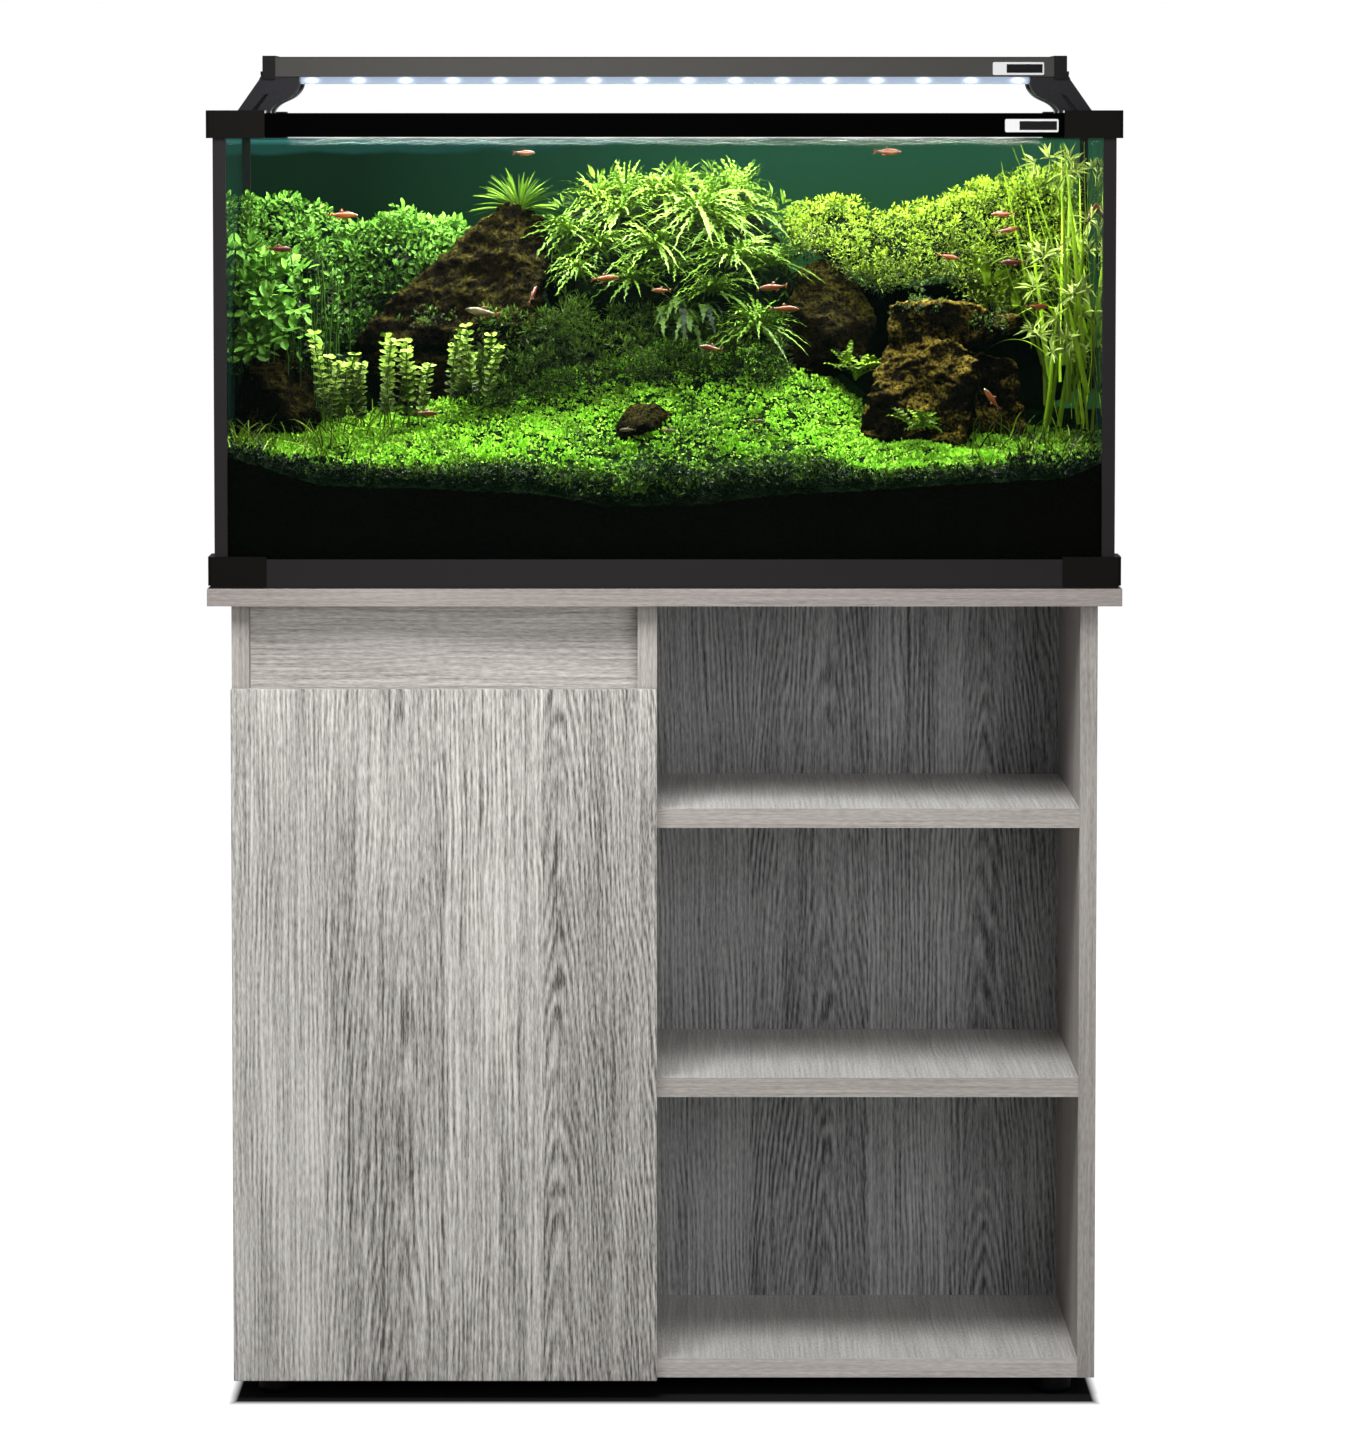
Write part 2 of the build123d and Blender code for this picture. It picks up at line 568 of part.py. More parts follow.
def build_contents():
    room = beaded_room()
    bed_line = [(-ROOM_HALF_Y, 840), (-60, 872), (60, 925), (ROOM_HALF_Y, 975)]
    carpet_line = [(-ROOM_HALF_Y, 850), (-60, 884), (20, 920), (20, 905), (-60, 870)]
    bed = bed_profile(bed_line) & room
    main_rock = boulder((-285, -105), (0, 105), (895, 1095), 4, 34)
    smaller_rocks = [
        boulder((225, 340), (-50, 45), (890, 1008), -6, 24),
        boulder((116, 186), (30, 92), (920, 1050), 8, 18),
        boulder((-46, 4), (-92, -56), (862, 906), 12, 8),
        boulder((-392, -322), (-20, 50), (890, 970), 5, 18),
        boulder((262, 308), (70, 112), (930, 1045), 0, 12),
    ]
    rocks = [main_rock] + smaller_rocks
    bed -= rocks
    save("soil_bed", bed)
    save("main_rock", main_rock)
    save("smaller_rocks", *smaller_rocks)
    carpet = bed_profile(carpet_line) & room
    carpet &= block(both(ROOM_HALF_X - 6), (6 - ROOM_HALF_Y, 20), (ROOM_Z, TOP_FRAME_Z))
    carpet -= [bed] + rocks
    save("carpet_plants", carpet)
    solid_ground = [bed, carpet] + rocks
    clumps = {
        "stem_plants": clump((-398, -200), (112, 162), (930, 1110), 5),
        "rosette_plants": clump((-100, 60), (95, 160), (930, 1150), 5),
        "bushy_plants": clump((70, 335), (116, 162), (940, 1125), 4),
        "grass_plants": clump((345, 398), (10, 110), (905, 1160), 2),
        "moss_clumps": clump((-180, -40), (-48, -6), (880, 965), 8),
    }
    for name, shape in clumps.items():
        save(name, shape - solid_ground)


# ---------------------------------------------------------------- lamp

def housing():
    """Extruded housing: a thick web below with the rails, a hollow above it."""
    half_x = LAMP_HALF_X - END_CAP_W
    body = block(both(half_x), both(LAMP_HALF_Y), (LAMP_Z, LAMP_TOP_Z))
    upper_edges = body.faces().sort_by(Axis.Z)[-1].edges().filter_by(Axis.X)
    body = fillet(upper_edges, 3.0)
    hollow_z = (LAMP_Z + WEB_T + 1.5, LAMP_TOP_Z - WALL_T)
    body -= block(both(half_x), both(LAMP_HALF_Y - WALL_T), hollow_z)
    body -= block(both(half_x), both(LENS_HALF_Y - 2), (LAMP_Z, LAMP_Z + WEB_T))
    for side in (-1, 1):
        body -= rail_bar(both(half_x), side * RAIL_Y, RAIL_GAP)
    gland_x = half_x - 26
    return body - rod(Vector(gland_x, LAMP_HALF_Y - 4, gland_z()),
                      Vector(gland_x, LAMP_HALF_Y + 1, gland_z()), 5.0 + FIT)


def rail_bar(x, y, grow):
    """T-shaped bar along X, grown by a clearance for the groove that it slides in."""
    neck_half = RAIL_NECK / 2 + grow
    head_half = RAIL_HEAD / 2 + grow
    neck = block(x, (y - neck_half, y + neck_half), (LAMP_Z - 0.3, LAMP_Z + 2.0))
    head = block(x, (y - head_half, y + head_half), (LAMP_Z + 2.0 - grow, LAMP_Z + 5.0 + grow))
    return neck + head


def gland_z():
    return (LAMP_Z + WEB_T + LAMP_TOP_Z) / 2


def end_cap():
    """Right end cap: a plug with front and rear walls that hide the leg's top."""
    x = (LAMP_HALF_X - END_CAP_W, LAMP_HALF_X)
    cap = block(x, both(LAMP_HALF_Y + 1), (LAMP_Z - 2.5, LAMP_TOP_Z + 1))
    cap = fillet(cap.edges().filter_by(Axis.X).group_by(Axis.Z)[-1], 3.0)
    cap -= block(x, both(LEG_OUTER_Y + 1.3), (LAMP_Z - 2.5, LAMP_Z + WEB_T))
    seats = end_screw_seats()
    return cap - [grown_screw(seat, -X_DIR) for seat in seats]


def end_screw_seats():
    return [Vector(LAMP_HALF_X, side * 30.0, gland_z()) for side in (-1, 1)]


def left_leg():
    """Left leg: two arms with a straight outer strut, a slit and a curved inner strut."""
    foot_z = TOP_FRAME_TOP_Z + LEG_GAP
    top_z = LAMP_Z - 0.3
    outer_top = (-379.0, top_z)
    outer_knee = (-380.0, 1224.0)
    outer_toe = (-402.0, foot_z)
    inner_toe = (-370.5, foot_z)
    inner_top = (-342.5, top_z)
    outline = Polyline(inner_toe, outer_toe, outer_knee, outer_top, inner_top)
    outline += Spline(inner_top, (-343.5, 1216.0), (-351.0, 1208.0), (-363.0, 1202.0), inner_toe)
    slit = Polyline((-371.0, 1211.0), (-375.5, 1210.0), (-389.0, foot_z), (-384.0, foot_z),
                    close=True)
    profile = make_face(outline) - make_face(slit)
    arm = extrude(Plane.XZ.offset(-LEG_OUTER_Y) * profile, LEG_OUTER_Y - LEG_INNER_Y)
    foot = block((-402.5, -369.5), (LEG_INNER_Y, LEG_OUTER_Y), (foot_z, foot_z + 2.0))
    arm += foot
    top_plate = block((-379.0, -353.0), both(LEG_OUTER_Y), (top_z - 2.5, top_z))
    rails = [rail_bar((-379.0, -323.0), side * RAIL_Y, 0.0) for side in (-1, 1)]
    return arm + mirrored_in_y(arm) + top_plate + rails[0] + rails[1]


def build_lamp():
    save("lamp_housing", housing())
    cap = end_cap()
    save("lamp_end_caps", cap, mirrored_in_x(cap))
    cap_screws = [screw(seat, -X_DIR, 11.5) for seat in end_screw_seats()]
    save("lamp_screws", *cap_screws, *[mirrored_in_x(shape) for shape in cap_screws])

    lens = block(both(LENS_HALF_X), both(LENS_HALF_Y), (LENS_Z, LAMP_Z))
    lower_edges = lens.faces().sort_by(Axis.Z)[0].edges()
    lens = fillet(lower_edges, 2.0)
    lens -= block(both(LENS_HALF_X - 1.5), both(LENS_HALF_Y - 1.5), (LENS_Z + 1.5, LAMP_Z))
    save("lamp_lens", lens)

    board_z = (LAMP_Z + WEB_T - 1.6, LAMP_Z + WEB_T)
    save("led_board", block(both(LENS_HALF_X - 2), both(LENS_HALF_Y - 2.2), board_z))
    first_x = -LED_PITCH * (LED_COUNT - 1) / 2
    led_z = (board_z[0] - 1.2, board_z[0])
    leds = []
    for index in range(LED_COUNT):
        x = first_x + index * LED_PITCH
        leds.append(block((x - 2.5, x + 2.5), both(2.5), led_z))
    save("leds", *leds)

    gland_x = LAMP_HALF_X - END_CAP_W - 26
    back = LAMP_HALF_Y
    start = Vector(gland_x, back - WALL_T, gland_z())
    gland = rod(start, start + Y_DIR * (WALL_T + 2), 5.0)
    gland += rod(Vector(gland_x, back, gland_z()), Vector(gland_x, back + 4, gland_z()), 6.0)
    gland += Solid.make_cone(5.0, 4.2, 8.0, Plane(origin=(gland_x, back + 4, gland_z()),
                                                  z_dir=Y_DIR))
    gland -= rod(start - Y_DIR, start + Y_DIR * 20, 3.0)
    save("cable_gland", gland)
    save("lamp_badge", badge((307, 355), (1228.5, 1240.5), -LAMP_HALF_Y))

    leg = left_leg()
    save("leg_left", leg)
    save("leg_right", mirrored_in_x(leg))


place_fittings()
build_cabinet()
build_door()
build_tank()
build_contents()
build_lamp()
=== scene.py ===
import json
import math

import bmesh
import bpy
import numpy as np
from mathutils import Matrix, Vector, noise

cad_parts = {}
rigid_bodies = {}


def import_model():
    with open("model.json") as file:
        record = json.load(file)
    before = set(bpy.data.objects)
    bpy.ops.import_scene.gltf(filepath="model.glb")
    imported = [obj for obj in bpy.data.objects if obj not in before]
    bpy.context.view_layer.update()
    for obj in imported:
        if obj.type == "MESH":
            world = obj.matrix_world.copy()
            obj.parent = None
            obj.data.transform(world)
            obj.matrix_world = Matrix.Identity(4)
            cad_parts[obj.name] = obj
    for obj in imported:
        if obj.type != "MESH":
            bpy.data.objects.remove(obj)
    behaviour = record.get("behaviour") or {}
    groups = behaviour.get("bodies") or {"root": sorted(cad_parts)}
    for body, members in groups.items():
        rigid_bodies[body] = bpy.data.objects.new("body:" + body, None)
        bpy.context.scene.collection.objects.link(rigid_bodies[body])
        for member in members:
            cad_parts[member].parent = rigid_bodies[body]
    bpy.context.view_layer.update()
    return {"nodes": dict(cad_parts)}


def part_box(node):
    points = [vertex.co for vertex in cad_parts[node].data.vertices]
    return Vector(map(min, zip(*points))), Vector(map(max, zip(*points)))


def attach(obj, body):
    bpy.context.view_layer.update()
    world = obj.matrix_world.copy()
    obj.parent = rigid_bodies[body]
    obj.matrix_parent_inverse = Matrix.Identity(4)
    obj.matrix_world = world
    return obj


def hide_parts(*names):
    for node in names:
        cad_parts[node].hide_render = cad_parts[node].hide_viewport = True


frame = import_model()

# Looks for the aquarium on its stand: wood decor, plastics, glass, the planted layout, water,
# fish and the lit lamp. Metres, in the frame of the CAD model: X right, Y back, Z up.

NODES = frame["nodes"]


def low(node, axis):
    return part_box(node)[0][axis]


def high(node, axis):
    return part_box(node)[1][axis]


# ---------------------------------------------------------------- driving values

FRONT_Y = low("top_frame_long_bars", 1)      # the tank's front plane
GLASS_IN_X = high("glass_bottom", 0)         # inner faces of the panes
GLASS_IN_Y = high("glass_bottom", 1)
FLOOR_Z = high("glass_bottom", 2)
LENS_Z = low("lamp_lens", 2)
WATER_Z = low("top_frame_long_bars", 2) - 0.001

CAMERA_X = 0.0082
EYE_Z = 1.17                                 # just under the rim, so the lamp stands clear of it
EYE_DISTANCE = 6.0
FIELD_H = 1.324                              # height of the view at the tank's front plane
AIM_Z = 0.636                                # middle of the view there
SHIFT = 0.07                                 # part of the view's height

AMBIENT = 0.18                               # surround's light on things; the camera sees 1.0
LAMP_COLOUR = (0.95, 1.0, 0.88)
LEAF_GAP = 0.0008                            # room between leaves and panes
UNDER_WATER = 0.003                          # room between leaves and the water's surface


# ---------------------------------------------------------------- camera, light and floor

def make_camera():
    data = bpy.data.cameras.new("camera")
    data.sensor_width = 36.0
    data.shift_y = -SHIFT
    centre_z = AIM_Z + SHIFT * FIELD_H
    drop = EYE_Z - centre_z
    slant = math.hypot(EYE_DISTANCE, drop)
    data.lens = data.sensor_width * slant / FIELD_H
    camera = bpy.data.objects.new("camera", data)
    camera.location = (CAMERA_X, FRONT_Y - EYE_DISTANCE, EYE_Z)
    camera.rotation_euler = (math.pi / 2 - math.atan2(drop, EYE_DISTANCE), 0.0, 0.0)
    bpy.context.scene.collection.objects.link(camera)
    bpy.context.scene.camera = camera


def area_light(name, place, target, size, power, colour=(1.0, 1.0, 1.0), depth=None):
    data = bpy.data.lights.new(name, "AREA")
    data.energy = power
    data.color = colour
    data.size = size
    if depth is not None:
        data.shape = "RECTANGLE"
        data.size_y = depth
    light = bpy.data.objects.new(name, data)
    light.location = place
    direction = Vector(target) - Vector(place)
    light.rotation_euler = direction.to_track_quat("-Z", "Y").to_euler()
    light.visible_camera = False
    bpy.context.scene.collection.objects.link(light)
    return light


def make_lights():
    """A white surround, soft studio lights and the lamp's own light.

    Returns the studio lights that keep_dark turns off for the planted layout.
    """
    world = bpy.data.worlds.new("world")
    world.use_nodes = True
    bpy.context.scene.world = world
    tree = world.node_tree
    background = tree.nodes["Background"]
    background.inputs["Color"].default_value = (1.0, 1.0, 1.0, 1.0)
    path = tree.nodes.new("ShaderNodeLightPath")
    strength = tree.nodes.new("ShaderNodeMapRange")
    strength.inputs["To Min"].default_value = AMBIENT
    strength.inputs["To Max"].default_value = 1.0
    tree.links.new(path.outputs["Is Camera Ray"], strength.inputs["Value"])
    tree.links.new(strength.outputs["Result"], background.inputs["Strength"])
    studio = [area_light("key", (-0.15, -0.80, 1.38), (0.0, -0.05, 0.30), size=0.5, power=10.5),
              area_light("rear_fill", (0.8, 3.2, 2.2), (0.0, 0.0, 0.6), size=2.0, power=30.0)]
    fill = area_light("fill", (0.9, -4.2, 1.0), (0.1, 0.0, 0.4), size=2.0, power=50.0)
    for light in studio + [fill]:
        light.visible_glossy = False
    area_light("tank_light", (0.0, 0.02, LENS_Z - 0.004), (0.0, 0.02, 0.0), size=0.66,
               power=15.0, colour=LAMP_COLOUR, depth=0.03)
    area_light("tank_light_front", (0.0, -0.12, WATER_Z - 0.004), (0.0, -0.03, 0.8), size=0.76,
               power=6.0, colour=LAMP_COLOUR, depth=0.02)
    return studio


def keep_dark(lights, objects):
    """These lights pass the planted layout by, which its own lamp lights."""
    group = bpy.data.collections.new("planted_layout")
    for item in objects:
        group.objects.link(item)
    for entry in group.collection_objects:
        entry.light_linking.link_state = "EXCLUDE"
    for light in lights:
        light.light_linking.receiver_collection = group


# ---------------------------------------------------------------- shader building

class Graph:
    """The nodes of one material, added by short calls."""

    def __init__(self, name, **surface_values):
        self.material = bpy.data.materials.new(name)
        self.material.use_nodes = True
        self.tree = self.material.node_tree
        self.surface = self.tree.nodes["Principled BSDF"]
        self.set_surface(**surface_values)

    def set_surface(self, **values):
        """Sets the surface's sockets, named with _ for each space, and returns the material."""
        for socket, value in values.items():
            self.feed(self.surface.inputs[socket.replace("_", " ")], value)
        return self.material

    def feed(self, socket, value):
        if isinstance(value, bpy.types.NodeSocket):
            self.tree.links.new(value, socket)
        else:
            socket.default_value = value

    def node(self, kind, inputs, output=0, **settings):
        made = self.tree.nodes.new(kind)
        for key, value in settings.items():
            setattr(made, key, value)
        for key, value in inputs.items():
            self.feed(made.inputs[key], value)
        return made.outputs[output]

    def place(self):
        """Object coordinates."""
        return self.node("ShaderNodeTexCoord", {}, "Object")

    def parts(self, vector):
        """X, Y and Z of a vector."""
        split = self.tree.nodes.new("ShaderNodeSeparateXYZ")
        self.feed(split.inputs[0], vector)
        return split.outputs[0], split.outputs[1], split.outputs[2]

    def upward(self, kind="ShaderNodeNewGeometry"):
        """How far the surface faces up, from -1 to 1."""
        return self.parts(self.node(kind, {}, "Normal"))[2]

    def math(self, operation, first, second=0.0):
        return self.node("ShaderNodeMath", {0: first, 1: second}, operation=operation)

    def add(self, total, *others):
        for other in others:
            total = self.math("ADD", total, other)
        return total

    def minus(self, first, second):
        return self.math("SUBTRACT", first, second)

    def times(self, first, second):
        return self.math("MULTIPLY", first, second)

    def vector(self, x, y, z):
        return self.node("ShaderNodeCombineXYZ", {0: x, 1: y, 2: z})

    def noise(self, vector, scale=1.0, detail=2.0, roughness=0.5):
        inputs = {"Vector": vector, "Scale": scale, "Detail": detail, "Roughness": roughness}
        return self.node("ShaderNodeTexNoise", inputs)

    def cells(self, vector, scale):
        return self.node("ShaderNodeTexVoronoi", {"Vector": vector, "Scale": scale})

    def spread(self, value, from_low, from_high, to_low=0.0, to_high=1.0):
        inputs = {"Value": value, "From Min": from_low, "From Max": from_high,
                  "To Min": to_low, "To Max": to_high}
        return self.node("ShaderNodeMapRange", inputs)

    def sway(self, noise, to_low, to_high):
        """Noise, which mostly lies from 0.3 to 0.7, spread over a range."""
        return self.spread(noise, 0.3, 0.7, to_low, to_high)

    def mix(self, factor, first, second):
        made = self.tree.nodes.new("ShaderNodeMix")
        made.data_type = "RGBA"
        for socket, value in zip((0, 6, 7), (factor, first, second)):
            self.feed(made.inputs[socket], value)
        return made.outputs[2]

    def bump(self, height, distance, strength):
        inputs = {"Height": height, "Distance": distance, "Strength": strength}
        self.set_surface(Normal=self.node("ShaderNodeBump", inputs))


def colour(red, green, blue):
    """Linear colour from the 0 to 255 values of a display."""
    parts = [(part / 255) ** 2.2 for part in (red, green, blue)]
    return (*parts, 1.0)


WHITE = (1.0, 1.0, 1.0, 1.0)
BLACK = (0.0, 0.0, 0.0, 1.0)


# ---------------------------------------------------------------- materials

PLANK_OFFSET = 3.7             # how far apart the noise of neighbouring planks is taken
ARCH_ROUND = 0.00012           # rounds the tip of the arched figure, square metres


def wood(name, light, dark, grain, planks=((0.0, 1.0, 0.0, 0.0),), ring_gap=0.0048,
         lines=0.24, lit_shelf_top=None, face_y=0.0):
    """Printed wood decor: growth lines, fine streaks along the grain and darker broad bands.

    grain is the axis of the grain. Each plank is (start, heart, lift, tone): where it begins
    across the grain, where its arched figure is centred, how fast the arches climb, and how
    much lighter it is. These places are true on the face at face_y. lit_shelf_top is the light and
    the dark colour of a shelf's upper face, whose grain still runs along X; they are lighter than
    the edges' colours, as painted light on the upper faces.
    """
    graph = Graph(name, Specular_IOR_Level=0.25)
    x, y, z = graph.parts(graph.place())
    behind = graph.minus(y, face_y)
    axes = {"X": (graph.add(z, behind), x), "Z": (graph.add(x, behind), z)}
    across, along = axes[grain]
    if lit_shelf_top is not None:
        # Upper faces take the lighter lit_shelf_top colours: painted light from above.
        on_top = graph.math("GREATER_THAN", graph.upward("ShaderNodeTexCoord"), 0.5)
        on_edge = graph.minus(1.0, on_top)
        across = graph.add(graph.times(across, on_edge), graph.times(x, on_top))
        along = graph.add(graph.times(along, on_edge), graph.times(y, on_top))
    offset = 0.0
    figure = planks[0][1:]
    for before, after in zip(planks, planks[1:]):
        begun = graph.math("GREATER_THAN", across, after[0])
        offset = graph.add(offset, graph.times(begun, PLANK_OFFSET))
        figure = [graph.add(value, graph.times(begun, new - old))
                  for value, old, new in zip(figure, before[1:], after[1:])]
    heart, lift, plank_tone = figure

    def grain_noise(wide, tall, detail, roughness=0.6):
        """Noise whose marks are wide across the grain and tall along it, in metres."""
        place = graph.vector(graph.math("DIVIDE", across, wide), offset,
                             graph.math("DIVIDE", along, tall))
        return graph.noise(place, 1.0, detail, roughness)

    bow = graph.minus(across, heart)
    bow = graph.math("SQRT", graph.add(graph.times(bow, bow), ARCH_ROUND))
    turns = graph.add(graph.math("DIVIDE", bow, ring_gap), graph.times(along, lift),
                      graph.times(grain_noise(0.050, 0.30, 2.0), 5.2),
                      graph.times(grain_noise(0.010, 0.08, 2.0), 0.91))
    wave = graph.math("SINE", graph.times(turns, math.tau))
    strength = graph.spread(grain_noise(0.030, 0.12, 2.0), 0.35, 0.65, 0.15, 1.0)
    rings = graph.times(graph.times(wave, strength), lines)
    streaks = graph.sway(grain_noise(0.0028, 0.20, 4.0, 0.7), -0.32, 0.32)
    flecks = graph.sway(grain_noise(0.0014, 0.010, 2.0), -0.26, 0.26)
    tone = graph.sway(grain_noise(0.035, 0.40, 3.0), 0.36, 0.64)
    relief = graph.add(rings, streaks, flecks)
    total = graph.add(relief, plank_tone, tone)
    shade = graph.mix(total, dark, light)
    if lit_shelf_top is not None:
        shade = graph.mix(on_top, shade, graph.mix(total, lit_shelf_top[1], lit_shelf_top[0]))
    graph.bump(relief, 0.0002, 0.5)
    return graph.set_surface(Base_Color=shade,
                             Roughness=graph.spread(total, 0.0, 1.0, 0.62, 0.46))


def plastic(name, base, roughness, gloss=0.25, grain_size=0.0006, relief=0.00004):
    """Moulded plastic with a fine texture and slightly uneven gloss."""
    graph = Graph(name, Base_Color=base, Specular_IOR_Level=gloss)
    graph.bump(graph.noise(graph.place(), 1.0 / grain_size, 2.0), relief, 0.6)
    broad = graph.noise(graph.place(), 30.0, 3.0)
    return graph.set_surface(Roughness=graph.sway(broad, roughness - 0.05, roughness + 0.06))


def metal(name, base, roughness):
    """Plated metal with a slightly uneven gloss."""
    graph = Graph(name, Base_Color=base, Metallic=1.0)
    uneven_gloss = graph.noise(graph.place(), 120.0, 2.0)
    graph.bump(uneven_gloss, 0.00002, 0.4)
    return graph.set_surface(Roughness=graph.sway(uneven_gloss, roughness - 0.06,
                                                  roughness + 0.10))


def badge_material(name, node):
    """Blank plate: bright rim and end, dark field."""
    graph = Graph(name, Roughness=0.35)
    coordinates = graph.parts(graph.place())
    field = 1.0
    for axis, start, end in ((0, 0.27, 0.97), (2, 0.16, 0.84)):
        edge = low(node, axis)
        size = high(node, axis) - edge
        after = graph.math("GREATER_THAN", coordinates[axis], edge + start * size)
        before = graph.math("LESS_THAN", coordinates[axis], edge + end * size)
        field = graph.times(field, graph.times(after, before))
    return graph.set_surface(Base_Color=graph.mix(field, colour(214, 214, 214),
                                                  colour(26, 26, 28)))


def glass_material():
    """Clear from in front, dark and glossy where it is seen along its length."""
    graph = Graph("tank_glass", Base_Color=colour(20, 34, 30), Roughness=0.02)
    facing = graph.node("ShaderNodeLayerWeight", {"Blend": 0.5}, "Facing")
    return graph.set_surface(Alpha=graph.spread(facing, 0.82, 0.90, 0.05, 1.0))


def water_material():
    graph = Graph("water", Base_Color=colour(12, 30, 26), Roughness=0.4, Alpha=0.05, IOR=1.33,
                  Specular_IOR_Level=0.2)
    graph.bump(graph.noise(graph.place(), 16.0, 3.0), 0.004, 0.6)
    return graph.material


def film_material():
    """Dark green backing film, lighter to the right, with a painted reflection of the water's
    surface as a pale stripe under the water line; its front glows with these colours as painted
    light.
    """
    graph = Graph("film", Roughness=1.0, Base_Color=BLACK, Specular_IOR_Level=0.0,
                  Emission_Strength=1.0)
    x, y, z = graph.parts(graph.place())
    soft = graph.noise(graph.vector(graph.times(x, 3.0), 0.0, graph.times(z, 3.0)))
    side = graph.add(graph.spread(x, -0.30, 0.10), graph.sway(soft, -0.08, 0.08))
    height = graph.spread(z, 1.06, 1.15)
    left = graph.mix(height, colour(20, 40, 22), colour(25, 46, 33))
    right = graph.mix(height, colour(43, 84, 48), colour(47, 92, 68))
    # Painted reflection: a pale stripe just under the water line, where the water's surface shows
    # its light.
    ripple = graph.noise(graph.vector(graph.times(x, 14.0), 0.0, 0.0))
    band_edge = graph.add(graph.spread(x, -0.20, 0.0, WATER_Z - 0.014, WATER_Z - 0.004),
                          graph.sway(ripple, -0.003, 0.003))
    above_edge = graph.spread(graph.minus(z, band_edge), -0.0020, 0.0020)
    band = graph.times(above_edge, graph.spread(x, 0.07, -0.03))
    pale = graph.mix(graph.spread(z, WATER_Z - 0.007, WATER_Z - 0.003), colour(38, 78, 70),
                     colour(62, 124, 118))
    shade = graph.mix(band, graph.mix(side, left, right), pale)
    front = graph.math("LESS_THAN", y, high("background_film", 1) - 0.0002)
    # The front face glows with these colours though the film is no lamp: painted light.
    return graph.set_surface(Emission_Color=graph.mix(front, BLACK, shade))


def lens_material():
    """Clear diffuser that glows, brighter below each LED."""
    graph = Graph("lens", Base_Color=(0.2, 0.25, 0.35, 1.0), Roughness=0.25)
    x, _, z = graph.parts(graph.place())
    led_width = 0.005
    gaps = 15
    pitch = (high("leds", 0) - low("leds", 0) - led_width) / gaps
    middle = (low("lamp_lens", 2) + high("lamp_lens", 2)) / 2
    turns = graph.math("DIVIDE", graph.minus(x, pitch / 2), pitch)
    wave = graph.math("COSINE", graph.times(turns, math.tau))
    height = graph.math("ABSOLUTE", graph.minus(z, middle))
    spot = graph.times(graph.math("POWER", graph.spread(wave, -1.0, 1.0), 7.0),
                       graph.spread(height, 0.0036, 0.0004))
    strength = graph.spread(graph.math("POWER", spot, 0.7), 0.0, 1.0, 0.9, 2.4)
    return graph.set_surface(Emission_Color=graph.mix(spot, (0.36, 0.43, 0.56, 1.0), WHITE),
                             Emission_Strength=strength)


def soil_material():
    graph = Graph("soil", Roughness=0.85, Specular_IOR_Level=0.04)
    place = graph.place()
    grains = graph.cells(place, 380.0)
    broad = graph.noise(place, 26.0, 4.0)
    shade = graph.mix(graph.spread(grains, 0.1, 0.7), colour(6, 5, 4), colour(18, 13, 9))
    shade = graph.mix(graph.spread(broad, 0.45, 0.75, 0.0, 0.6), shade, colour(16, 17, 6))
    graph.bump(grains, 0.0015, 0.8)
    return graph.set_surface(Base_Color=graph.mix(graph.spread(graph.upward(), 0.4, 0.8), shade,
                                                  colour(14, 34, 7)))


def rock_material(name, bright):
    """Wet lava rock: nearly black in its pits as painted shade, olive brown on top where algae grow
    and where upward faces are painted lighter as painted light.
    """
    graph = Graph(name, Roughness=0.85, Specular_IOR_Level=0.02)
    place = graph.place()
    coarse = graph.noise(place, 42.0, 6.0, 0.7)
    fine = graph.noise(place, 330.0, 4.0, 0.75)
    pits = graph.cells(place, 150.0)
    # Upward faces turn to the bright top colour: algae, and painted light from above.
    algae_and_top_light = graph.add(graph.spread(graph.upward(), 0.1, 0.8, 0.0, 0.9),
                       graph.spread(coarse, 0.38, 0.62, -0.45, 0.30))
    mottle = graph.spread(fine, 0.42, 0.60)
    shade = graph.mix(algae_and_top_light, graph.mix(mottle, colour(2, 2, 1), colour(22, 17, 9)),
                      graph.mix(mottle, colour(14, 12, 5), bright))
    # Painted shade: the pits turn nearly black.
    shade = graph.mix(graph.spread(pits, 0.05, 0.34, 0.9, 0.0), shade, colour(2, 2, 1))
    graph.bump(graph.add(coarse, graph.times(fine, 0.5), graph.spread(pits, 0.0, 0.3, 0.0, 0.35)),
               0.005, 0.9)
    return graph.set_surface(Base_Color=shade)


def leaf_shades(name, darkest, brightest, steps):
    """Plain leaf greens from dark to bright, lit and shaded copies of one green for painted light
    and shade; neighbouring leaves take different ones.
    """
    shades = []
    for step in range(steps):
        part = step / (steps - 1)
        mixed = [a + (b - a) * part for a, b in zip(darkest, brightest)]
        graph = Graph(f"{name}_{step + 1}", Base_Color=mixed, Roughness=0.5,
                      Specular_IOR_Level=0.12)
        shades.append(graph.material)
    return shades


# ---------------------------------------------------------------- CAD nodes

def dress(material, *names):
    """Gives CAD nodes one material."""
    for name in names:
        node = NODES[name]
        node.data.materials.clear()
        node.data.materials.append(material)


def ease_edges(width, *names):
    """Small rounds along the sharp edges, which catch the light."""
    for name in names:
        bevel = NODES[name].modifiers.new("eased_edges", "BEVEL")
        bevel.width = width
        bevel.segments = 2
        bevel.limit_method = "ANGLE"
        bevel.angle_limit = math.radians(40)


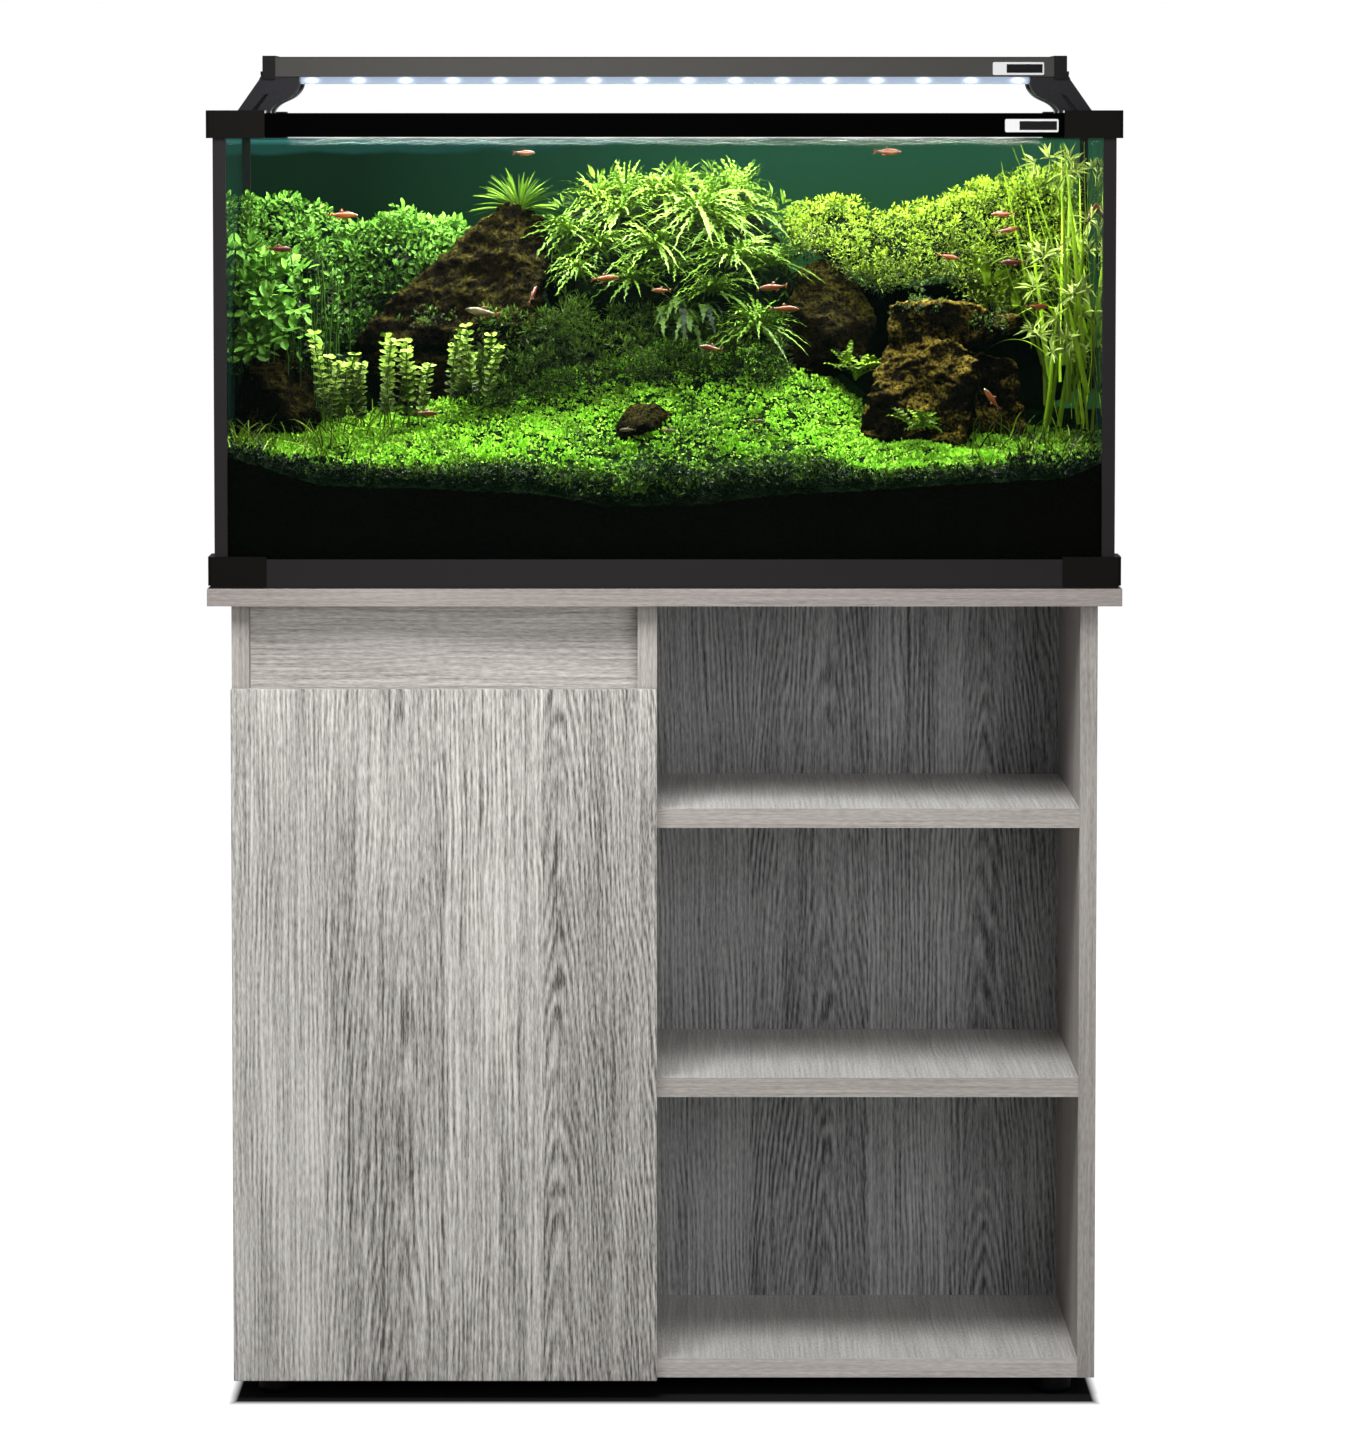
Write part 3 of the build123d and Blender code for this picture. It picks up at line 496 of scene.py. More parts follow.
def dress_cabinet():
    # Painted light: the shelves' upper faces are lighter than their edges.
    lit_shelf_top = (colour(255, 255, 251), colour(186, 185, 181))
    # The boards are copies of one grey decor, each lighter or darker to make up for the light that
    # falls on it (painted light and shade): the lower boards and the fascia in the top board's
    # shadow are the lightest.
    boards = [("board_wood", colour(168, 161, 157), colour(128, 121, 117), ["top_board"]),
              ("shelf_wood", colour(200, 193, 188), colour(150, 143, 139),
               ["shelf_upper", "shelf_lower"]),
              ("base_wood", colour(226, 219, 214), colour(172, 165, 160), ["bottom_board"])]
    for name, light, dark, nodes in boards:
        dress(wood(name, light, dark, "X", lit_shelf_top=lit_shelf_top, lines=0.10), *nodes)
    dress(wood("panel_wood", colour(192, 186, 181), colour(138, 132, 128), "Z", lines=0.12),
          "side_panel_left", "side_panel_right", "divider_panel")
    dress(wood("fascia_wood", colour(236, 230, 225), colour(138, 132, 128), "X",
               ring_gap=0.006, lines=0.12), "fascia_rail")
    start = low("door_panel", 0)
    door_planks = [(start, start - 0.20, 0.0, 0.11),
                   (start + 0.086, start + 0.160, 12.0, -0.05),
                   (start + 0.197, start - 0.10, 0.0, 0.06),
                   (start + 0.288, start + 0.301, 24.0, -0.11)]
    dress(wood("door_wood", colour(234, 231, 225), colour(90, 87, 83), "Z", door_planks,
               face_y=low("door_panel", 1)), "door_panel")
    start = high("divider_panel", 0)
    back_planks = [(start, start - 0.05, 8.0, 0.08), (start + 0.090, start + 0.165, 20.0, -0.07),
                   (start + 0.206, start - 0.10, 0.0, 0.06),
                   (start + 0.300, start + 0.318, 24.0, -0.09)]
    dress(wood("back_wood", colour(184, 184, 185), colour(78, 78, 79), "Z", back_planks,
               lines=0.30, face_y=low("back_panel_right", 1)), "back_panel_left",
          "back_panel_right")
    ease_edges(0.0006, "top_board", "bottom_board", "shelf_upper", "shelf_lower",
               "side_panel_left", "side_panel_right", "divider_panel", "fascia_rail")
    dress(plastic("foot_plastic", colour(14, 14, 14), 0.45), "feet")
    dress(plastic("catch_plastic", colour(215, 213, 208), 0.4), "catch_magnet")
    dress(plastic("bumper_rubber", colour(200, 200, 196), 0.3), "door_bumpers")
    dress(metal("nickel", colour(196, 194, 188), 0.22), "hinge_arms", "hinge_cups")
    dress(metal("zinc", colour(180, 180, 178), 0.3), "cabinet_screws", "cam_locks", "cam_bolts",
          "back_panel_pins", "hinge_pins", "door_screws", "strike_plate", "lamp_screws")
    dress(wood("beech", colour(214, 178, 132), colour(176, 134, 90), "X"), "wood_dowels")


def dress_tank():
    dress(plastic("mat_foam", colour(40, 40, 40), 0.9, 0.1, 0.002, 0.0002), "levelling_mat")
    dress(plastic("frame_plastic", colour(8, 8, 8), 0.5, 0.03), "top_frame_long_bars",
          "top_frame_end_bars")
    dress(plastic("base_plastic", colour(42, 40, 41), 0.42, 0.08), "bottom_frame_long_bars",
          "bottom_frame_end_bars", "corner_trims")
    dress(plastic("cap_plastic", colour(25, 24, 22), 0.34, 0.12), "top_corner_caps",
          "bottom_corner_caps")
    dress(glass_material(), "glass_front", "glass_rear", "glass_left", "glass_right",
          "glass_bottom")
    dress(plastic("silicone", colour(5, 5, 5), 0.3, 0.1), "silicone_seams")
    dress(film_material(), "background_film")
    dress(badge_material("frame_plate", "frame_badge"), "frame_badge")
    dress(badge_material("lamp_plate", "lamp_badge"), "lamp_badge")
    ease_edges(0.0008, "top_frame_long_bars", "bottom_frame_long_bars", "top_frame_end_bars",
               "bottom_frame_end_bars", "corner_trims")
    ease_edges(0.0016, "bottom_corner_caps", "top_corner_caps")


def dress_lamp():
    dress(plastic("lamp_paint", colour(69, 68, 66), 0.36, 0.12, 0.0004, 0.00002), "lamp_housing")
    dress(plastic("lamp_cap", colour(36, 35, 35), 0.4, 0.15), "lamp_end_caps", "cable_gland")
    dress(plastic("leg_plastic", colour(44, 44, 47), 0.3, 0.3), "leg_left", "leg_right")
    dress(lens_material(), "lamp_lens")
    dress(plastic("board_mask", colour(225, 225, 225), 0.5), "led_board")
    dress(Graph("led_light", Base_Color=(1.0, 1.0, 0.9, 1.0), Emission_Strength=3.0,
                Emission_Color=WHITE).material, "leds")
    ease_edges(0.0012, "lamp_end_caps")
    ease_edges(0.0005, "leg_left", "leg_right")


# ---------------------------------------------------------------- mesh helpers

def piece(name, points, faces, materials, indices=None, smooth=False):
    """New object that rides with the tank."""
    mesh = bpy.data.meshes.new(name)
    faces = faces.tolist() if isinstance(faces, np.ndarray) else faces
    mesh.from_pydata(np.asarray(points).tolist(), [], faces)
    for material in materials:
        mesh.materials.append(material)
    if indices is not None:
        mesh.polygons.foreach_set("material_index", np.asarray(indices, dtype=np.int32))
    if smooth:
        mesh.shade_smooth()
    mesh.update()
    made = bpy.data.objects.new(name, mesh)
    bpy.context.scene.collection.objects.link(made)
    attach(made, "root")
    return made


def seen(x, z, y):
    """World point at depth y that shows at (x, z) on the tank's front plane."""
    x, z, y = np.broadcast_arrays(x, z, y)
    grow = (EYE_DISTANCE + y - FRONT_Y) / EYE_DISTANCE
    return np.stack([CAMERA_X + (x - CAMERA_X) * grow, y, EYE_Z + (z - EYE_Z) * grow], axis=-1)


def rising(across, back):
    """Directions that rise and lean by the given amounts."""
    return np.stack([across, back, np.ones(len(across))], axis=-1)


def unit(vectors):
    return vectors / np.maximum(np.linalg.norm(vectors, axis=-1, keepdims=True), 1e-9)


def inside_tank(points, gap):
    """Keeps points within the panes and under the water."""
    room = np.array([GLASS_IN_X - gap, GLASS_IN_Y - gap])
    kept = np.array(points)
    kept[..., :2] = np.clip(kept[..., :2], -room, room)
    kept[..., 2] = np.minimum(kept[..., 2], WATER_Z - UNDER_WATER - gap)
    return kept


class Foliage:
    """Gathers the leaves and stems of one plant group, and makes one mesh of them."""

    def __init__(self, seed):
        self.random = np.random.default_rng(seed)
        self.points = []
        self.faces = []
        self.shades = []
        self.count = 0

    def add(self, points, faces, shades):
        """points is (many, n, 3), faces index one of the many, shades is (many,)."""
        many, size = points.shape[:2]
        starts = self.count + np.arange(many)[:, None, None] * size
        self.points.append(points.reshape(-1, 3))
        self.faces.append((starts + faces[None]).reshape(-1, 3))
        self.shades.append(np.repeat(shades, len(faces)) if shades.ndim == 1 else shades.ravel())
        self.count += many * size

    def among(self, many, xs, zs, ys):
        """Random places within ranges of x and z on the front plane, and of depth y."""
        x, z, y = [self.random.uniform(*limits, many) for limits in (xs, zs, ys)]
        return seen(x, z, y)

    def build(self, name, materials, slot, *replaced):
        shades = np.clip(np.concatenate(self.shades), 0, len(materials) - 1).astype(np.int32)
        points = inside_tank(np.concatenate(self.points), LEAF_GAP)
        made = piece(name, points, np.concatenate(self.faces), materials, shades)
        if replaced:
            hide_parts(*replaced)

    def leaves(self, origins, along, up, length, width, shades, outline):
        """Small stiff leaves: outline rows are (across, along, lift)."""
        points, faces = outline
        along = unit(along)
        side = unit(np.cross(along, up))
        lift = np.cross(side, along)
        length = np.broadcast_to(length, (len(origins),))[:, None, None]
        width = np.broadcast_to(width, (len(origins),))[:, None, None]
        placed = (origins[:, None] + along[:, None] * points[None, :, 1:2] * length
                  + side[:, None] * points[None, :, 0:1] * width
                  + lift[:, None] * points[None, :, 2:3] * length)
        self.add(placed, faces, shades)

    def blades(self, origins, directions, length, width, droop, shades, segments=8,
               crinkle=0.0, waves=6.0, profile="leaf", folded=0.25, jag=0.0):
        """Long bending leaves, three points across, with an optional crinkled edge."""
        many = len(origins)
        directions = unit(directions)
        length = np.broadcast_to(length, (many,))[:, None]
        width = np.broadcast_to(width, (many,))[:, None]
        droop = np.broadcast_to(droop, (many,))[:, None]
        part = np.linspace(0.0, 1.0, segments + 1)[None]
        centre = (origins[:, None] + directions[:, None] * (length * part)[..., None])
        centre[..., 2] -= droop * length * part ** 2
        level = np.array([0.0, 0.0, 1.0]) + self.random.normal(0, 0.25, (many, 3))
        side = unit(np.cross(directions, level))
        lift = np.cross(side, directions)
        spread = {"leaf": np.sin(np.pi * np.clip(part * 0.86 + 0.10, 0, 1)),
                  "grass": np.clip(1.0 - part, 0, 1) ** 0.6}
        teeth = 1.0 + jag * np.where(np.arange(segments + 1) % 2 == 0, 1.0, -1.0)
        half = width * spread[profile] * teeth / 2
        phase = self.random.uniform(0, math.tau, (many, 1))
        ripple = crinkle * np.sin(math.tau * waves * part + phase)
        centre = centre + lift[:, None] * (ripple * 0.8)[..., None]
        centre = centre + side[:, None] * (ripple * 0.6)[..., None]
        edge = side[:, None] * half[..., None]
        fold = lift[:, None] * (half * folded)[..., None]
        rows = np.stack([centre - edge + fold, centre, centre + edge + fold], axis=2)
        faces = []
        for step in range(segments):
            for column in range(2):
                corner = step * 3 + column
                faces.append((corner, corner + 1, corner + 4))
                faces.append((corner, corner + 4, corner + 3))
        self.add(rows.reshape(many, -1, 3), np.array(faces), shades)

    def stems(self, starts, ends, radius, shades, bend=0.0, segments=4):
        """Thin three-sided stems between two points, bent sideways in the middle."""
        many = len(starts)
        part = np.linspace(0.0, 1.0, segments + 1)[None, :, None]
        axis = ends - starts
        sideways = self.random.normal(0, 1.0, (many, 1, 3)) * np.array([1.0, 0.6, 0.0])
        centre = starts[:, None] + axis[:, None] * part + sideways * bend * np.sin(math.pi * part)
        side = unit(np.cross(axis, np.array([0.3, 1.0, 0.1])))
        other = unit(np.cross(axis, side))
        rings = []
        for corner in range(3):
            angle = math.tau * corner / 3
            rings.append(centre + (side * math.cos(angle) + other * math.sin(angle))[:, None]
                         * radius)
        points = np.stack(rings, axis=2).reshape(many, -1, 3)
        faces = []
        for step in range(segments):
            for corner in range(3):
                a = step * 3 + corner
                b = step * 3 + (corner + 1) % 3
                faces.append((a, b, b + 3))
                faces.append((a, b + 3, a + 3))
        self.add(points, np.array(faces), shades)
        return centre


def fan(points):
    """Leaf outline with faces fanned round its last point."""
    rim = len(points) - 1
    faces = [(rim, step, (step + 1) % rim) for step in range(rim)]
    return np.array(points, dtype=float), np.array(faces)


ROUND_LEAF = fan([(0, 0, 0), (-0.42, 0.28, 0.05), (-0.44, 0.68, 0.04), (0, 1, -0.02),
                  (0.44, 0.68, 0.04), (0.42, 0.28, 0.05), (0, 0.5, -0.05)])
NARROW_LEAF = fan([(0, 0, 0), (-0.5, 0.45, 0.06), (0, 1, -0.08), (0.5, 0.45, 0.06),
                   (0, 0.45, -0.03)])
SPECK_LEAF = (np.array([(0, 0, 0), (-0.5, 0.5, 0.12), (0, 1, 0), (0.5, 0.5, 0.12)], dtype=float),
              np.array([(0, 1, 2), (0, 2, 3)]))


# ---------------------------------------------------------------- the bed

# Height of the soil at the front glass and of the bed's back line, along X.
FRONT_LINE = [(-0.41, 0.880), (-0.32, 0.850), (-0.20, 0.846), (-0.12, 0.842), (-0.05, 0.830),
              (0.03, 0.831), (0.10, 0.840), (0.26, 0.850), (0.37, 0.857), (0.41, 0.875)]
BACK_LINE = [(-0.41, 0.885), (-0.31, 0.893), (-0.21, 0.920), (-0.13, 0.935), (-0.05, 0.946),
             (0.00, 0.968), (0.08, 0.962), (0.14, 0.945), (0.17, 0.920), (0.20, 0.893),
             (0.33, 0.884), (0.41, 0.875)]
BACK_Y = 0.03
BED_RISE = 0.22                               # slope of the bed behind its back line


def along_line(line, x):
    places = np.array(line)
    return np.interp(x, places[:, 0], places[:, 1])


def bed_height(x, y):
    front = along_line(FRONT_LINE, x)
    back = along_line(BACK_LINE, x)
    part = np.clip((y + GLASS_IN_Y) / (BACK_Y + GLASS_IN_Y), 0, 1)
    eased = part ** 0.8
    hump = 0.004 * np.sin(x * 47.0) * np.sin(y * 61.0 + 1.0)
    behind = np.clip(y - BACK_Y, 0, None) * BED_RISE
    return front + (back - front) * eased + behind + hump * np.sin(math.pi * part)


def pane_grid(columns, rows, inset):
    """X and Y of a grid that fills the tank between its panes."""
    xs = np.linspace(-GLASS_IN_X + inset, GLASS_IN_X - inset, columns)
    ys = np.linspace(-GLASS_IN_Y + inset, GLASS_IN_Y - inset, rows)
    return np.meshgrid(xs, ys)


def layer_faces(columns, rows):
    """Faces of an upper grid of points and of the same grid below it, which faces down."""
    count = columns * rows
    faces = []
    for row in range(rows - 1):
        for column in range(columns - 1):
            a = row * columns + column
            faces.append((a, a + 1, a + columns + 1, a + columns))
            faces.append((a + count, a + columns + count, a + columns + 1 + count, a + 1 + count))
    return faces


def make_bed():
    """Soil with a grown-over top, as one closed piece against the panes."""
    inset = 0.0005
    columns = 220
    rows = 96
    grain = 0.0006
    grid_x, grid_y = pane_grid(columns, rows, inset)
    top = bed_height(grid_x, grid_y)
    random = np.random.default_rng(3)
    top = top + random.normal(0, grain, top.shape)
    upper = np.stack([grid_x, grid_y, top], axis=-1).reshape(-1, 3)
    lower = np.stack([grid_x, grid_y, np.full_like(top, FLOOR_Z + inset)], axis=-1).reshape(-1, 3)
    points = np.concatenate([upper, lower])
    count = columns * rows
    faces = layer_faces(columns, rows)
    rim = list(range(columns))
    rim += [row * columns + columns - 1 for row in range(1, rows)]
    rim += [(rows - 1) * columns + column for column in range(columns - 2, -1, -1)]
    rim += [row * columns for row in range(rows - 2, 0, -1)]
    for step, a in enumerate(rim):
        b = rim[(step + 1) % len(rim)]
        faces.append((b, a, a + count, b + count))
    made = piece("soil", points, faces, [soil_material()])
    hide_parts("soil_bed")


# ---------------------------------------------------------------- rocks

VOXEL = 0.0024                                # how finely a rock's surface is cut


def rock(name, hulls, material, relief, seed, voxel=VOXEL):
    """Craggy rock from hulls of (x, z, y) points, each given as seen on the front plane."""
    shell = bmesh.new()
    for points in hulls:
        corners = [shell.verts.new(seen(x, z, y)) for x, z, y in points]
        made = bmesh.ops.convex_hull(shell, input=corners)
        spare = [item for item in made["geom_interior"] if isinstance(item, bmesh.types.BMVert)]
        bmesh.ops.delete(shell, geom=spare, context="VERTS")
    mesh = bpy.data.meshes.new(name)
    shell.to_mesh(mesh)
    shell.free()
    body = bpy.data.objects.new(name, mesh)
    bpy.context.scene.collection.objects.link(body)
    remesh = body.modifiers.new("remesh", "REMESH")
    remesh.mode = "VOXEL"
    remesh.voxel_size = voxel
    smooth = body.modifiers.new("smooth", "SMOOTH")
    smooth.iterations = 6
    bpy.context.view_layer.update()
    graph = bpy.context.evaluated_depsgraph_get()
    shaped = bpy.data.meshes.new_from_object(body.evaluated_get(graph))
    body.modifiers.clear()
    body.data = shaped
    offset = Vector((seed * 3.1, seed * 1.7, seed * 2.3))
    moves = []
    for vertex in shaped.vertices:
        place = vertex.co + offset
        crag = noise.ridged_multi_fractal(place * 24.0, 0.9, 2.1, 5, 1.0, 2.0)
        pits = noise.multi_fractal(place * 110.0, 0.6, 2.2, 4)
        moves.append(vertex.normal * ((crag - 1.2) * relief + (pits - 1.0) * relief * 0.5))
    for vertex, move in zip(shaped.vertices, moves):
        vertex.co += move
    shaped.materials.clear()
    shaped.materials.append(material)
    shaped.shade_smooth()
    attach(body, "root")
    return body


def make_rocks():
    olive = rock_material("rock_olive", colour(114, 98, 42))
    dark = rock_material("rock_dark", colour(50, 46, 18))
    main = rock("main_crag", [
        [(-0.145, 1.112, 0.04), (-0.118, 1.108, 0.05), (-0.108, 1.088, 0.05),
         (-0.108, 1.035, 0.02), (-0.125, 0.985, 0.00), (-0.185, 1.080, 0.05),
         (-0.235, 1.035, 0.04), (-0.270, 1.005, 0.03), (-0.255, 0.975, 0.02),
         (-0.110, 1.060, 0.09), (-0.250, 0.960, 0.09), (-0.140, 1.090, 0.085)],
        [(-0.270, 1.004, 0.02), (-0.285, 0.985, 0.03), (-0.250, 0.930, 0.03),
         (-0.215, 0.905, 0.03), (-0.150, 0.915, 0.02), (-0.110, 0.940, 0.02),
         (-0.110, 1.030, 0.06), (-0.170, 1.020, 0.04), (-0.200, 0.900, 0.09),
         (-0.270, 0.930, 0.09)],
    ], dark, 0.0052, 1)
    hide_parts("main_rock")
    right = rock("right_crag", [
        [(0.206, 1.018, -0.02), (0.235, 1.022, -0.01), (0.280, 1.018, -0.01),
         (0.325, 1.006, 0.00), (0.340, 0.997, 0.01), (0.290, 0.978, 0.00),
         (0.205, 0.985, -0.02), (0.215, 0.960, 0.00), (0.250, 1.010, 0.05),
         (0.320, 0.995, 0.05), (0.215, 1.000, 0.04)],
        [(0.205, 0.990, -0.01), (0.270, 0.985, -0.02), (0.290, 0.965, -0.03),
         (0.285, 0.925, -0.03), (0.275, 0.885, -0.04), (0.175, 0.895, -0.04),
         (0.188, 0.925, -0.04), (0.207, 0.950, -0.03), (0.200, 0.895, 0.03),
         (0.280, 0.895, 0.03)],
        [(0.275, 0.975, 0.01), (0.325, 0.965, 0.02), (0.335, 0.900, 0.02),
         (0.270, 0.890, 0.01), (0.300, 0.900, 0.06), (0.280, 0.960, 0.06)],
    ], olive, 0.0050, 2)
    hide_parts("smaller_rocks")
    others = [
        ("dark_boulder", 0.0035, VOXEL, [
            (0.112, 1.020, 0.03), (0.122, 1.048, 0.05), (0.143, 1.062, 0.05),
            (0.165, 1.052, 0.05), (0.190, 1.022, 0.05), (0.196, 1.005, 0.04),
            (0.180, 0.955, 0.03), (0.115, 0.950, 0.03), (0.105, 0.985, 0.04),
            (0.150, 0.990, 0.005), (0.150, 1.040, 0.10), (0.150, 0.960, 0.10)]),
        ("front_pebble", 0.0024, 0.0022, [
            (-0.045, 0.908, -0.08), (-0.034, 0.924, -0.075), (-0.010, 0.929, -0.075),
            (0.008, 0.917, -0.075), (0.010, 0.892, -0.08), (-0.048, 0.888, -0.08),
            (-0.020, 0.907, -0.105), (-0.020, 0.900, -0.05)]),
        ("left_crag", 0.0040, VOXEL, [
            (-0.385, 0.960, 0.0), (-0.370, 0.985, 0.02), (-0.345, 0.982, 0.02),
            (-0.322, 0.950, 0.02), (-0.312, 0.910, 0.01), (-0.330, 0.880, 0.0),
            (-0.395, 0.885, 0.0), (-0.395, 0.930, 0.02), (-0.350, 0.930, -0.02),
            (-0.350, 0.900, 0.05)]),
        ("back_crag", 0.0030, VOXEL, [
            (0.272, 1.045, 0.07), (0.290, 1.052, 0.07), (0.306, 1.046, 0.07),
            (0.312, 1.020, 0.06), (0.275, 1.015, 0.06), (0.290, 1.030, 0.10)])]
    for seed, (name, relief, voxel, hull) in enumerate(others, 3):
        rock(name, [hull], dark, relief, seed, voxel)


# ---------------------------------------------------------------- plants

def uneven(points, size, seed):
    """Smooth value from -1 to 1 that changes over about size, for patches of light and dark."""
    random = np.random.default_rng(seed)
    total = np.zeros(len(points))
    for _ in range(5):
        wave = random.normal(0, 1.0 / size, 3)
        total += np.sin(points @ wave + random.uniform(0, math.tau))
    return np.clip(total / 2.5, -1, 1)


def mound(name, top, bottom, near, far, material):
    """Closed dark mass inside a group of plants, between two lines seen on the front plane."""
    columns = 48
    ring = 26
    xs = np.linspace(top[0][0], top[-1][0], columns)
    high_z = along_line(top, xs)
    low_z = along_line(bottom, xs)
    turn = np.linspace(0, math.tau, ring, endpoint=False)
    ends = np.sqrt(np.clip(1 - np.linspace(-1, 1, columns) ** 6, 0.02, 1))
    middle = (high_z + low_z) / 2
    half = (high_z - low_z) / 2 * ends
    z = middle[:, None] + half[:, None] * np.sin(turn)[None]
    lean = (np.sin(turn)[None] + 1) / 2
    y = (near + far) / 2 - (far - near) / 2 * np.cos(turn)[None] * ends[:, None]
    y = y + (far - near) * 0.25 * lean
    x = np.repeat(xs[:, None], ring, axis=1)
    points = seen(x.ravel(), z.ravel(), y.ravel())
    relief = 0.004 * uneven(points, 0.012, 5)
    points = points + relief[:, None] * np.array([0.3, 1.0, 0.6])
    points = inside_tank(points, 0.003)
    faces = []
    for column in range(columns - 1):
        for step in range(ring):
            a = column * ring + step
            b = column * ring + (step + 1) % ring
            faces.append((a, b, b + ring, a + ring))
    faces.append(tuple(range(ring - 1, -1, -1)))
    faces.append(tuple((columns - 1) * ring + step for step in range(ring)))
    return piece(name, points, faces, [material], smooth=True)


def spots_between(random, count, top, bottom, near, far):
    """Places over the front and top of a mass: lower ones stand nearer the camera.

    Also gives how high each place is, from 0 at the bottom line to 1 at the top.
    """
    x = random.uniform(top[0][0], top[-1][0], count * 3)
    z = random.uniform(min(p[1] for p in bottom), max(p[1] for p in top), count * 3)
    kept = (z < along_line(top, x)) & (z > along_line(bottom, x))
    x = x[kept][:count]
    z = z[kept][:count]
    part = (z - along_line(bottom, x)) / (along_line(top, x) - along_line(bottom, x))
    y = near + (far - near) * (part ** 1.4 * 0.5 + random.uniform(0, 0.5, len(x)))
    return inside_tank(seen(x, z, y), 0.010), part


def heads(foliage, centres, outline, radius, each, leaf, base_shade, swing, upward=0.6,
          shape=(1.0, 1.0, 1.0)):
    """A tuft of leaves round each place, darker at its foot and lighter towards the lamp.

    leaf is the length of a leaf and its width as a part of that. swing is how far the shades
    of one tuft lie apart, and shape stretches the tuft along X, Y and Z.
    """
    random = foliage.random
    many = len(centres)
    direction = unit(random.normal(0, 1, (many, each, 3)) + np.array([0, -0.35, upward]))
    out = random.uniform(0.25, 1.0, (many, each, 1)) ** 0.7
    scale = np.broadcast_to(radius, (many,))[:, None, None]
    origins = centres[:, None] + direction * out * scale * np.array(shape)
    along = unit(direction + random.normal(0, 0.35, direction.shape))
    up = unit(np.array([0.0, -0.4, 1.0]) + random.normal(0, 0.4, direction.shape))
    length = leaf[0] * random.uniform(0.7, 1.25, many * each)
    light = direction[..., 2] * 0.8 + out[..., 0] - 0.9
    base = np.broadcast_to(base_shade, (many,))[:, None]
    shade = base + light * swing + random.normal(0, 0.5, (many, each))
    foliage.leaves(origins.reshape(-1, 3), along.reshape(-1, 3), up.reshape(-1, 3), length,
                   length * leaf[1], np.round(shade).ravel(), outline)


STEM_TOP = [(-0.404, 1.110), (-0.354, 1.116), (-0.337, 1.112), (-0.318, 1.108),
            (-0.311, 1.098), (-0.284, 1.086), (-0.263, 1.090), (-0.243, 1.104),
            (-0.231, 1.102), (-0.217, 1.090), (-0.190, 1.090), (-0.168, 1.076)]
STEM_FOOT = [(-0.404, 0.960), (-0.340, 0.968), (-0.316, 0.979), (-0.274, 0.995),
             (-0.231, 1.032), (-0.183, 1.070), (-0.168, 1.070)]


def make_stem_plants():
    """Tall stems at the left: broad pale leaves at the edge, finer ones behind the rock."""
    greens = leaf_shades("stem_green", colour(4, 14, 3), colour(88, 136, 48), 7)
    foliage = Foliage(11)
    random = foliage.random
    for first, last, near, far, count in ((-0.404, -0.300, 0.00, 0.11, 330),
                                          (-0.300, -0.168, 0.075, 0.13, 400)):
        top = [(x, along_line(STEM_TOP, x)) for x in np.linspace(first, last, 14)]
        foot = [(x, along_line(STEM_FOOT, x) - 0.012) for x in np.linspace(first, last, 14)]
        centres, part = spots_between(random, count, top, foot, near, far)
        # Heads higher in the mass are lighter: painted light from the lamp above.
        tone = 1.1 + 2.3 * part ** 2 + 1.1 * uneven(centres, 0.014, 1)
        heads(foliage, centres, ROUND_LEAF, 0.009, 20, (0.0062, 0.52), tone, 2.4)
    broad = [(-0.404, 1.070), (-0.334, 1.060)]
    low_edge = [(-0.404, 0.970), (-0.334, 0.985)]
    centres, part = spots_between(random, 60, broad, low_edge, -0.04, 0.03)
    heads(foliage, centres, ROUND_LEAF, 0.012, 8, (0.0135, 0.62),
          3.6 + uneven(centres, 0.02, 2), 1.8, 0.2, (1.2, 1.0, 0.5))
    stalks = 60
    starts = np.stack([random.uniform(-0.40, -0.30, stalks), random.uniform(0.0, 0.05, stalks),
                       np.full(stalks, 0.90)], axis=-1)
    ends = starts + np.stack([random.normal(0, 0.008, stalks), random.normal(0, 0.006, stalks),
                              random.uniform(0.10, 0.16, stalks)], axis=-1)
    foliage.stems(starts, ends, 0.0009, np.full(stalks, 1.0), 0.004)
    foliage.build("stem_plants_leaves", greens, "leaf_green", "stem_plants")


ROSETTE_TOP = [(-0.110, 1.108), (-0.074, 1.130), (-0.034, 1.135), (0.009, 1.136),
               (0.060, 1.134), (0.090, 1.112), (0.115, 1.105)]
ROSETTE_FOOT = [(-0.110, 0.990), (-0.050, 0.965), (0.020, 0.962), (0.080, 0.958),
                (0.115, 0.975)]


def rosette(foliage, place, count, length, width, shade, spread=1.0, droop=0.45,
            rise=(-0.10, 1.3)):
    """One crown: long crinkled leaves that rise, spread and bend over."""
    random = foliage.random
    angle = random.uniform(0, math.tau, count)
    lift = random.uniform(*rise, count)
    directions = np.stack([np.cos(angle) * spread, np.sin(angle) * 0.7 - 0.25, lift], axis=-1)
    origins = np.repeat(seen(*place)[None], count, axis=0) + random.normal(0, 0.002, (count, 3))
    # Leaves that rise more are lighter: painted light from the lamp above.
    shades = np.round(shade + lift * 1.1 + random.normal(0, 0.9, count))
    foliage.blades(origins, directions, length * random.uniform(0.6, 1.15, count),
                   width * random.uniform(0.8, 1.2, count), droop, shades, segments=22,
                   crinkle=0.0010, waves=5.5, jag=0.45)


